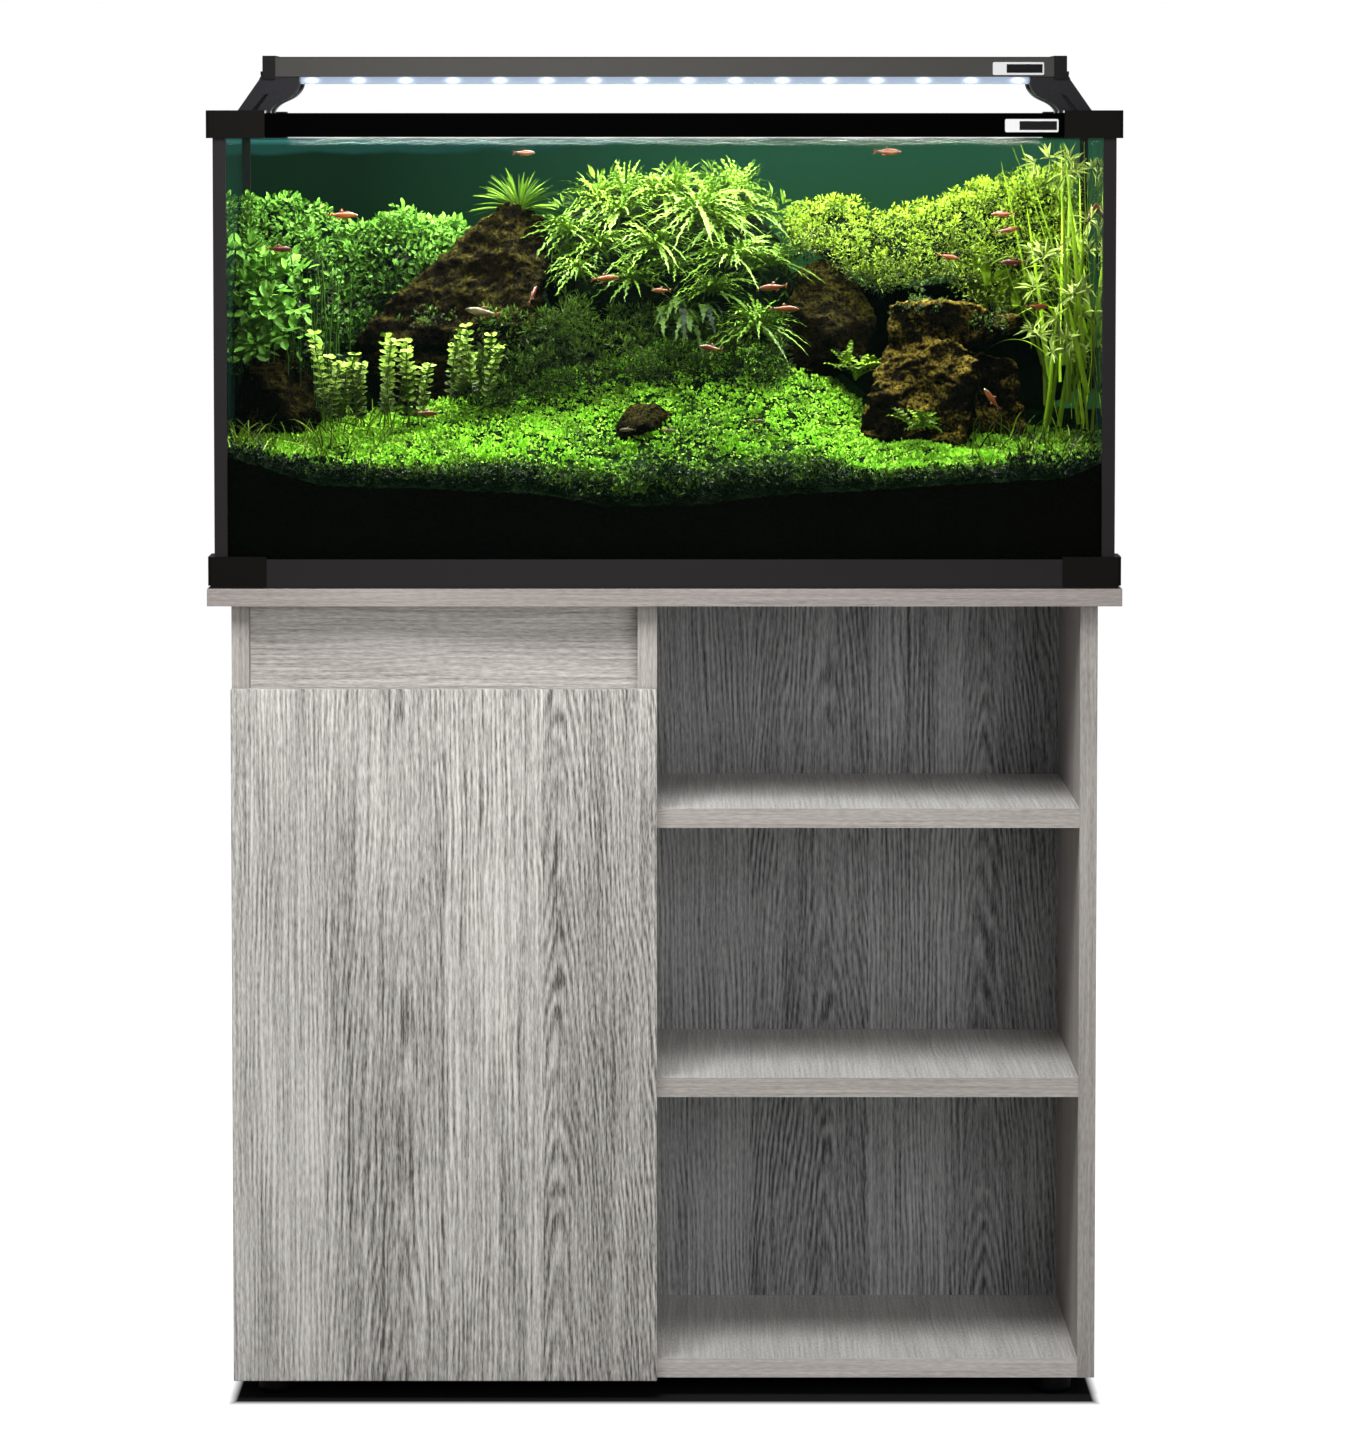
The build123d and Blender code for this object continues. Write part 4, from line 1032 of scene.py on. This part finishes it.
def make_rosette_plants():
    """Crinkled rosettes on and beside the rocks, and the starburst on the crag's peak."""
    greens = leaf_shades("rosette_green", colour(9, 27, 6), colour(92, 126, 38), 8)
    foliage = Foliage(12)
    random = foliage.random
    # Each crown is (place, number of leaves, their length, their shade).
    crowns = [((0.030, 1.102, 0.02), 54, 0.062, 4.4), ((-0.009, 1.071, 0.00), 46, 0.052, 4.2),
              ((0.065, 1.060, -0.01), 50, 0.054, 4.3), ((-0.079, 1.048, 0.00), 34, 0.036, 3.6),
              ((0.085, 0.997, -0.03), 46, 0.052, 4.0), ((-0.088, 1.082, 0.03), 44, 0.044, 3.6),
              ((0.011, 1.050, 0.00), 30, 0.044, 3.0), ((-0.040, 1.100, 0.04), 46, 0.052, 3.8),
              ((0.075, 1.100, 0.05), 40, 0.050, 3.2), ((0.045, 1.030, -0.01), 36, 0.044, 3.2),
              ((-0.030, 1.040, 0.00), 34, 0.042, 2.9), ((0.100, 1.055, 0.04), 34, 0.046, 2.8),
              ((-0.060, 1.070, 0.02), 36, 0.044, 3.2), ((0.000, 1.118, 0.05), 44, 0.052, 4.2),
              ((0.050, 1.085, 0.02), 40, 0.050, 3.9), ((-0.062, 1.112, 0.06), 34, 0.048, 3.6),
              ((0.068, 1.122, 0.06), 30, 0.040, 3.8)]
    for place, count, length, shade in crowns:
        rosette(foliage, place, round(count * 1.7), length * 1.06, 0.0029, shade)
    for x, z in ((-0.036, 1.118), (0.010, 1.122), (0.066, 1.120), (-0.014, 1.110), (0.040, 1.112)):
        rosette(foliage, (x, z, 0.04), 16, 0.046, 0.0028, 2.6, spread=0.8, droop=0.30,
                rise=(0.8, 2.6))
    for x, z in ((0.0, 1.012), (0.020, 1.006), (0.036, 1.014), (0.012, 1.020)):
        rosette(foliage, (x, z, -0.015), 14, 0.030, 0.0065, 1.0, spread=0.5, droop=1.1)
    needles = 84
    angle = random.uniform(0, math.tau, needles)
    burst = np.stack([np.cos(angle), random.uniform(-0.6, 0.3, needles),
                      np.abs(np.sin(angle)) * 0.95 + 0.02], axis=-1)
    origin = np.repeat(seen(-0.133, 1.104, 0.045)[None], needles, axis=0)
    foliage.blades(origin, burst, random.uniform(0.036, 0.056, needles), 0.0024, 0.25,
                   np.round(random.uniform(2.0, 6.4, needles)), segments=7, folded=0.3)
    centres, part = spots_between(random, 300, ROSETTE_TOP, ROSETTE_FOOT, 0.04, 0.12)
    # Leaves higher in the mass are lighter: painted light.
    heads(foliage, centres, NARROW_LEAF, 0.012, 8, (0.013, 0.22),
          0.6 + part * 1.6 + uneven(centres, 0.02, 4), 1.4)
    foliage.build("rosette_plants_leaves", greens, "leaf_green", "rosette_plants")


BUSH_TOP = [(0.112, 1.098), (0.128, 1.110), (0.159, 1.114), (0.177, 1.112), (0.196, 1.098),
            (0.216, 1.104), (0.251, 1.114), (0.285, 1.126), (0.309, 1.134), (0.342, 1.139),
            (0.380, 1.142)]
BUSH_FOOT = [(0.112, 1.070), (0.141, 1.060), (0.170, 1.045), (0.192, 1.030), (0.220, 1.034),
             (0.262, 1.042), (0.280, 1.020), (0.342, 1.000), (0.380, 0.960)]


def make_bushy_plants():
    """Dense fine-leaved mass at the right, yellow green at its tips: leaves higher in the mass are
    painted lighter, as painted light.
    """
    greens = leaf_shades("bush_green", colour(8, 24, 4), colour(104, 130, 30), 8)
    foliage = Foliage(13)
    centres, part = spots_between(foliage.random, 1500, BUSH_TOP, BUSH_FOOT, 0.02, 0.13)
    # Higher leaves are lighter: painted light.
    tone = 2.2 + 2.6 * part + 1.1 * uneven(centres, 0.010, 6)
    heads(foliage, centres, SPECK_LEAF, 0.0070, 22, (0.0040, 0.46), tone, 2.8, 0.4)
    foliage.build("bushy_plants_leaves", greens, "bush_green", "bushy_plants")


def make_grass_plants():
    """Tall ribbons at the right edge, thin dark grass low at both sides and broad straps."""
    greens = leaf_shades("grass_green", colour(4, 14, 3), colour(122, 158, 34), 6)
    foliage = Foliage(14)
    random = foliage.random
    ribbons = 40
    origins = foliage.among(ribbons, (0.345, 0.400), (0.89, 0.97), (-0.02, 0.07))
    lean = rising(random.normal(-0.03, 0.16, ribbons), random.normal(0, 0.10, ribbons))
    foliage.blades(origins, lean, random.uniform(0.13, 0.27, ribbons),
                   random.uniform(0.0034, 0.0062, ribbons), random.uniform(0.0, 0.12, ribbons),
                   np.round(random.uniform(0.6, 5.4, ribbons)), segments=14, crinkle=0.0030,
                   waves=0.7, profile="grass")
    arcs = 26
    origins = foliage.among(arcs, (0.355, 0.395), (0.96, 1.06), (-0.02, 0.03))
    lean = rising(random.uniform(-0.9, -0.2, arcs), random.normal(0, 0.1, arcs))
    foliage.blades(origins, lean, random.uniform(0.08, 0.14, arcs), 0.0046, 0.65,
                   np.round(random.uniform(2.0, 5.4, arcs)), segments=12, profile="grass")
    thin = 420
    at_left = random.uniform(0, 1, thin) < 0.5
    x = np.where(at_left, random.uniform(-0.402, -0.262, thin), random.uniform(0.285, 0.402, thin))
    y = random.uniform(-0.15, 0.03, thin)
    origins = np.stack([x, y, bed_height(x, y)], axis=-1)
    lean = rising(random.normal(0, 0.55, thin), random.normal(-0.1, 0.4, thin))
    foliage.blades(origins, lean, random.uniform(0.030, 0.062, thin), 0.0016, 0.45,
                   np.round(random.uniform(0.0, 3.6, thin)), segments=7, profile="grass")
    straps = 26
    origins = foliage.among(straps, (0.290, 0.330), (1.00, 1.05), (0.02, 0.05))
    lean = rising(random.normal(0, 0.6, straps), random.uniform(-0.6, 0.1, straps))
    foliage.blades(origins, lean, random.uniform(0.035, 0.055, straps), 0.010, 0.45,
                   np.round(random.uniform(0.0, 2.6, straps)), crinkle=0.0006, waves=2.0)
    for x, z, y in ((0.178, 0.955, -0.01), (0.192, 0.960, 0.0), (0.165, 0.962, 0.0),
                    (0.238, 0.908, -0.06), (0.228, 0.905, -0.055)):
        rosette(foliage, (x, z, y), 12, 0.030, 0.0058, 1.4, spread=0.9, droop=0.3)
    foliage.build("grass_plants_leaves", greens, "leaf_green", "grass_plants")


def make_star_plants():
    """Pale whorled plants between the tall grass at the right."""
    greens = leaf_shades("star_green", colour(26, 46, 14), colour(146, 164, 84), 5)
    foliage = Foliage(15)
    for heights in ((0.955, 0.995), (1.000, 1.036), (1.060, 1.095), (1.132, 1.162)):
        centres = foliage.among(6, (0.336, 0.392), heights, (-0.06, 0.0))
        heads(foliage, centres, NARROW_LEAF, 0.002, 14, (0.017, 0.20), 3.0, 1.2, 0.2)
    foliage.build("star_plants", greens, "leaf_green")


def make_round_leaf_plants():
    """Upright stems before the left rock, with pairs of small round leaves up each stem."""
    greens = leaf_shades("round_green", colour(8, 20, 4), colour(116, 146, 52), 6)
    foliage = Foliage(16)
    random = foliage.random
    levels = 11
    for first, last, tops, foot, count in ((-0.316, -0.222, (0.955, 0.992), 0.905, 19),
                                           (-0.198, -0.156, (0.965, 0.998), 0.925, 8)):
        feet = seen(random.uniform(first, last, count), np.full(count, foot),
                    random.uniform(-0.06, -0.02, count))
        tips = seen(random.uniform(first, last, count), random.uniform(*tops, count), feet[:, 1])
        tips[:, 0] = feet[:, 0] + random.normal(0, 0.007, count)
        centre = foliage.stems(feet, tips, 0.0008, np.full(count, 2.0), 0.002, levels)
        for level in range(2, levels + 1):
            place = centre[:, level]
            # Leaves higher up the stem are lighter: painted light from the lamp above.
            tone = 0.6 + 4.0 * (level / levels) ** 1.6 + random.normal(0, 0.4, count)
            turn = level * 1.4 + random.uniform(0, math.tau, count)
            for side in (0.0, math.pi / 2, math.pi, math.pi * 1.5):
                out = np.stack([np.cos(turn + side), np.sin(turn + side) * 0.8,
                                random.uniform(0.1, 0.6, count)], axis=-1)
                up = np.array([0.0, -0.5, 1.0]) + random.normal(0, 0.3, (count, 3))
                foliage.leaves(place, out, up, random.uniform(0.0062, 0.0085, count), 0.0062,
                               np.round(tone), ROUND_LEAF)
    foliage.build("round_leaf_plants", greens, "leaf_green")


def on_bed(random, count, x_range, y_range):
    x = random.uniform(*x_range, count)
    y = random.uniform(*y_range, count)
    return np.stack([x, y, bed_height(x, y)], axis=-1)


def make_carpet():
    """Low carpet over the open soil, with a dark fringe against the front pane. Its leaves carry a
    painted shadow and painted shade near the side panes and against the front pane, and the fringe
    is lighter at its top and in the middle as painted light.
    """
    greens = leaf_shades("carpet_green", colour(8, 30, 5), colour(146, 206, 58), 8)
    foliage = Foliage(17)
    random = foliage.random
    edge = 0.402
    places = on_bed(random, 8600, (-edge, edge), (-0.160, 0.07))
    tone = 4.2 + 1.4 * uneven(places, 0.022, 8) + 1.2 * uneven(places, 0.006, 9)
    shadow = np.exp(-((places[:, 0] - 0.02) / 0.07) ** 2 - ((places[:, 1] + 0.10) / 0.04) ** 2)
    # Painted shade: darker near the side panes and against the front pane.
    edges = np.exp(-((np.abs(places[:, 0]) - 0.40) / 0.05) ** 2)
    front = np.clip((-0.124 - places[:, 1]) / 0.020, 0, 1)
    tone = tone - 2.8 * shadow - 2.6 * edges - 4.2 * front
    heads(foliage, places + np.array([0, 0, 0.001]), SPECK_LEAF, 0.0042, 8, (0.0034, 0.70),
          tone, 2.4, 1.2, (1.3, 1.3, 0.8))
    many = 1500
    fringe = on_bed(random, many, (-edge, edge), (-0.167, -0.150))
    part = random.uniform(0, 1, many)
    fringe[:, 2] += -0.003 + part * 0.017 * (0.8 + 0.4 * uneven(fringe, 0.03, 3))
    # The fringe is lighter at its top and in the middle and dark elsewhere: painted light and
    # shade.
    middle = np.exp(-(fringe[:, 0] / 0.30) ** 4)
    heads(foliage, fringe, SPECK_LEAF, 0.0036, 10, (0.0040, 0.5),
          part * 1.6 * middle - 1.0 + 0.6 * uneven(fringe, 0.012, 4), 1.0, 1.0)
    foliage.build("carpet_plants_leaves", greens, "carpet_green", "carpet_plants")


def make_moss():
    """Dark moss below the crag and over the middle of the bed, with paler tips; leaves higher in
    the mass are painted lighter, as painted light.
    """
    greens = leaf_shades("moss_green", colour(4, 11, 3), colour(70, 96, 30), 6)
    foliage = Foliage(18)
    random = foliage.random
    top = [(-0.190, 0.985), (-0.165, 1.010), (-0.120, 1.005), (-0.090, 1.025), (-0.040, 1.012),
           (0.000, 1.015), (0.060, 0.995), (0.110, 0.985)]
    foot = [(-0.190, 0.920), (-0.120, 0.925), (-0.040, 0.945), (0.060, 0.950), (0.110, 0.935)]
    centres, part = spots_between(random, 620, top, foot, -0.05, 0.05)
    # Higher leaves are lighter: painted light.
    heads(foliage, centres, SPECK_LEAF, 0.0075, 18, (0.0066, 0.24),
          0.7 + part * 1.6 + 1.3 * uneven(centres, 0.014, 10), 2.2)
    rocks = [(-0.215, 1.004, 0.012), (0.300, 0.999, -0.015), (0.240, 1.018, -0.020),
             (-0.365, 0.980, 0.010)]
    for place in rocks:
        centres = seen(*place) + random.normal(0, 1, (26, 3)) * np.array([0.014, 0.010, 0.005])
        heads(foliage, centres, SPECK_LEAF, 0.004, 10, (0.0036, 0.40), 1.6, 1.8)
    foliage.build("moss_tufts", greens, "moss_green", "moss_clumps")


BACK_TOP = [(-0.400, 1.075), (-0.310, 1.085), (-0.284, 1.070), (-0.243, 1.084),
            (-0.190, 1.070), (-0.110, 1.060), (0.110, 1.060), (0.170, 1.045), (0.400, 1.060)]
BACK_FOOT = [(-0.400, 0.900), (0.0, 0.930), (0.400, 0.900)]


def make_shade_masses():
    """Dark closed masses of painted shade inside the plant groups, so that nothing shows between
    the leaves.
    """
    graph = Graph("shade_mass", Roughness=0.8, Specular_IOR_Level=0.05)
    mottle = graph.spread(graph.noise(graph.place(), 120.0, 3.0), 0.35, 0.65)
    # Painted shade: the masses are nearly black green.
    inner = graph.set_surface(Base_Color=graph.mix(mottle, colour(3, 8, 3), colour(12, 24, 7)))
    left_top = [point for point in STEM_TOP if point[0] < -0.30]
    left_foot = [point for point in STEM_FOOT if point[0] < -0.30]
    masses = [("stem_undergrowth", left_top, left_foot, 0.050, 0.12),
              ("rosette_undergrowth", ROSETTE_TOP, ROSETTE_FOOT, 0.045, 0.12),
              ("bush_undergrowth", BUSH_TOP, BUSH_FOOT, 0.055, 0.13),
              ("back_undergrowth", BACK_TOP, BACK_FOOT, 0.135, 0.160),
              ("left_undergrowth", [(-0.400, 0.985), (-0.230, 0.985)],
               [(-0.400, 0.880), (-0.230, 0.900)], 0.045, 0.10)]
    for name, top, foot, near, far in masses:
        lowered = [(x, z - 0.010) for x, z in top]
        made = mound(name, lowered, [(x, z + 0.004) for x, z in foot], near, far, inner)


# ---------------------------------------------------------------- water and fish

def make_water():
    """The surface of the water, a thin waved sheet between the panes."""
    columns = 60
    rows = 28
    thickness = 0.0012
    grid_x, grid_y = pane_grid(columns, rows, 0.0004)
    wave = 0.0006 * np.sin(grid_x * 52 + grid_y * 31) + 0.0005 * np.sin(grid_x * 27 - grid_y * 66)
    layers = [np.stack([grid_x, grid_y, WATER_Z - drop + wave], axis=-1).reshape(-1, 3)
              for drop in (0.0, thickness)]
    made = piece("water_surface", np.concatenate(layers), layer_faces(columns, rows),
                 [water_material()], smooth=True)


def fish_skin(name, back, belly):
    """Two colours in small blotches under fine scales."""
    graph = Graph(name, Roughness=0.32)
    place = graph.place()
    scales = graph.cells(place, 900.0)
    mottle = graph.noise(place, 180.0, 2.0)
    shade = graph.mix(graph.spread(mottle, 0.35, 0.65), back, belly)
    graph.bump(scales, 0.0002, 0.4)
    return graph.set_surface(Base_Color=graph.mix(graph.spread(scales, 0.0, 0.9, 0.0, 0.5),
                                                  shade, back))


def fish(name, place, heading, length, skin, fin, eye, tilt=0.0):
    """One small fish: a lofted body, a forked tail, a back fin, two belly fins and eyes.

    Lengths are parts of the fish's own. marks says for each face whether it is skin, fin or eye.
    """
    # Each station is (place along the body, half its height, rise of its middle).
    stations = [(0.00, 0.010, 0.00), (0.06, 0.045, 0.00), (0.16, 0.080, 0.005),
                (0.32, 0.110, 0.006), (0.48, 0.100, 0.006), (0.62, 0.072, 0.008),
                (0.76, 0.040, 0.012), (0.84, 0.030, 0.012)]
    ring = 12
    eye_ring = 8
    points = []
    faces = []
    marks = []
    for along, half, rise in stations:
        for step in range(ring):
            turn = math.tau * step / ring
            points.append((0.5 - along, half * 0.46 * math.cos(turn),
                           half * math.sin(turn) + rise))
    for station in range(len(stations) - 1):
        for step in range(ring):
            a = station * ring + step
            b = station * ring + (step + 1) % ring
            faces.append((a, a + ring, b + ring, b))
            marks.append(0)
    faces.append(tuple(range(ring)))
    faces.append(tuple((len(stations) - 1) * ring + step for step in range(ring - 1, -1, -1)))
    marks += [0, 0]
    fins = [[(-0.33, 0.012), (-0.50, 0.125), (-0.44, 0.012), (-0.50, -0.10)],
            [(0.10, 0.10), (0.00, 0.20), (-0.07, 0.17), (-0.06, 0.09)],
            [(-0.02, -0.09), (-0.08, -0.17), (-0.17, -0.11), (-0.18, -0.05)],
            [(0.16, -0.09), (0.08, -0.15), (0.06, -0.09)]]
    for outline in fins:
        start = len(points)
        for side in (0.004, -0.004):
            points += [(along, side, rise) for along, rise in outline]
        count = len(outline)
        faces.append(tuple(range(start, start + count)))
        faces.append(tuple(range(start + 2 * count - 1, start + count - 1, -1)))
        marks += [1, 1]
        for step in range(count):
            after = (step + 1) % count
            faces.append((start + after, start + step, start + count + step,
                          start + count + after))
            marks.append(1)
    for side in (-1, 1):
        start = len(points)
        centre = np.array([0.415, side * 0.030, 0.018])
        for radius, out in ((0.024, 0.0), (0.017, 0.008)):
            for step in range(eye_ring):
                turn = math.tau * step / eye_ring * side
                points.append(tuple(centre + np.array([radius * math.cos(turn), side * out,
                                                       radius * math.sin(turn)])))
        for step in range(eye_ring):
            after = (step + 1) % eye_ring
            faces.append((start + step, start + after, start + eye_ring + after,
                          start + eye_ring + step))
        faces.append(tuple(range(start + eye_ring, start + 2 * eye_ring)))
        marks += [2] * (eye_ring + 1)
    turn = Matrix.Rotation(math.radians(heading), 3, "Z") @ Matrix.Rotation(
        math.radians(-tilt), 3, "Y")
    placed = np.array(points) * length @ np.array(turn).T + seen(*place)
    return piece(name, placed, faces, [skin, fin, eye], marks, smooth=True)


def make_fish():
    orange = fish_skin("fish_orange", colour(68, 30, 5), colour(104, 58, 16))
    red = fish_skin("fish_red", colour(48, 9, 5), colour(76, 22, 12))
    pale = fish_skin("fish_pale", colour(50, 44, 30), colour(92, 82, 60))
    fin = Graph("fish_fin", Base_Color=colour(88, 42, 11), Roughness=0.4, Alpha=0.75).material
    eye = Graph("fish_eye", Base_Color=colour(12, 12, 12), Roughness=0.1).material
    shoal = [((-0.296, 1.099, -0.06), 0, 0.030, orange, 0),
             ((-0.129, 1.156, -0.02), 20, 0.022, orange, 0),
             ((0.204, 1.157, -0.02), 0, 0.026, orange, 0),
             ((-0.055, 1.041, -0.07), 10, 0.027, orange, 5),
             ((-0.003, 1.030, -0.06), 160, 0.020, orange, 0),
             ((0.100, 1.033, -0.07), 180, 0.028, orange, -5),
             ((0.110, 1.013, -0.08), 0, 0.028, orange, 0),
             ((0.043, 0.977, -0.08), 200, 0.024, orange, 10),
             ((0.311, 1.100, -0.02), 175, 0.024, orange, 0),
             ((0.314, 1.085, -0.02), 10, 0.024, orange, 10),
             ((0.260, 1.061, -0.02), 0, 0.022, orange, -10),
             ((0.320, 1.056, -0.03), 190, 0.024, red, 0),
             ((0.342, 1.015, -0.05), 20, 0.024, orange, 0),
             ((0.392, 1.101, -0.02), 30, 0.026, orange, 55),
             ((0.301, 0.930, -0.09), 150, 0.026, orange, 50),
             ((-0.354, 1.068, -0.04), 0, 0.026, red, 0),
             ((-0.121, 1.026, -0.05), 60, 0.022, red, 50),
             ((-0.219, 0.917, -0.09), 0, 0.022, orange, 0),
             ((-0.167, 1.010, -0.05), 170, 0.034, pale, 10),
             ((-0.034, 0.902, -0.11), 170, 0.016, pale, 0),
             ((0.003, 0.901, -0.11), 20, 0.016, pale, 0),
             ((0.085, 0.910, -0.10), 0, 0.016, pale, 0)]
    for number, (place, heading, length, skin, tilt) in enumerate(shoal, 1):
        made = fish(f"fish_{number:02d}", place, heading, length, skin, fin, eye, tilt)


# ---------------------------------------------------------------- the scene

def make_floor():
    """Staged floor: it glows white for the camera, except in a painted shadow under the stand,
    where its colour is dark too.
    """
    mesh = bpy.data.meshes.new("floor")
    half = 12.0
    corners = [(-half, -half, -0.0004), (half, -half, -0.0004), (half, half, -0.0004),
               (-half, half, -0.0004)]
    mesh.from_pydata(corners, [], [(0, 1, 2, 3)])
    floor = bpy.data.objects.new("floor", mesh)
    bpy.context.scene.collection.objects.link(floor)
    white = Graph("floor_white", Roughness=0.9, Specular_IOR_Level=0.0, Emission_Color=WHITE)
    x, y, _ = white.parts(white.place())
    beside = white.minus(white.math("ABSOLUTE", x), 0.385)
    before = white.minus(white.math("ABSOLUTE", y), 0.155)
    apart = white.math("MAXIMUM", white.times(beside, 2.5), before)
    near, far = 0.030, 0.052
    seen_directly = white.node("ShaderNodeLightPath", {}, "Is Camera Ray")
    glow = white.times(seen_directly, white.spread(apart, near, far, 0.0, 0.95))
    # Painted shadow: under and close round the stand the floor turns dark and stops glowing.
    white.set_surface(Base_Color=white.spread(apart, near, far, 0.02, 0.42), Emission_Strength=glow)
    mesh.materials.append(white.material)


bpy.context.scene.view_settings.view_transform = "Standard"
make_camera()
studio_lights = make_lights()
make_floor()
dress_cabinet()
dress_tank()
dress_lamp()
furniture = set(bpy.data.objects)
make_bed()
make_rocks()
make_shade_masses()
make_stem_plants()
make_rosette_plants()
make_bushy_plants()
make_grass_plants()
make_star_plants()
make_round_leaf_plants()
make_carpet()
make_moss()
make_water()
make_fish()
keep_dark(studio_lights, [item for item in bpy.data.objects if item not in furniture])
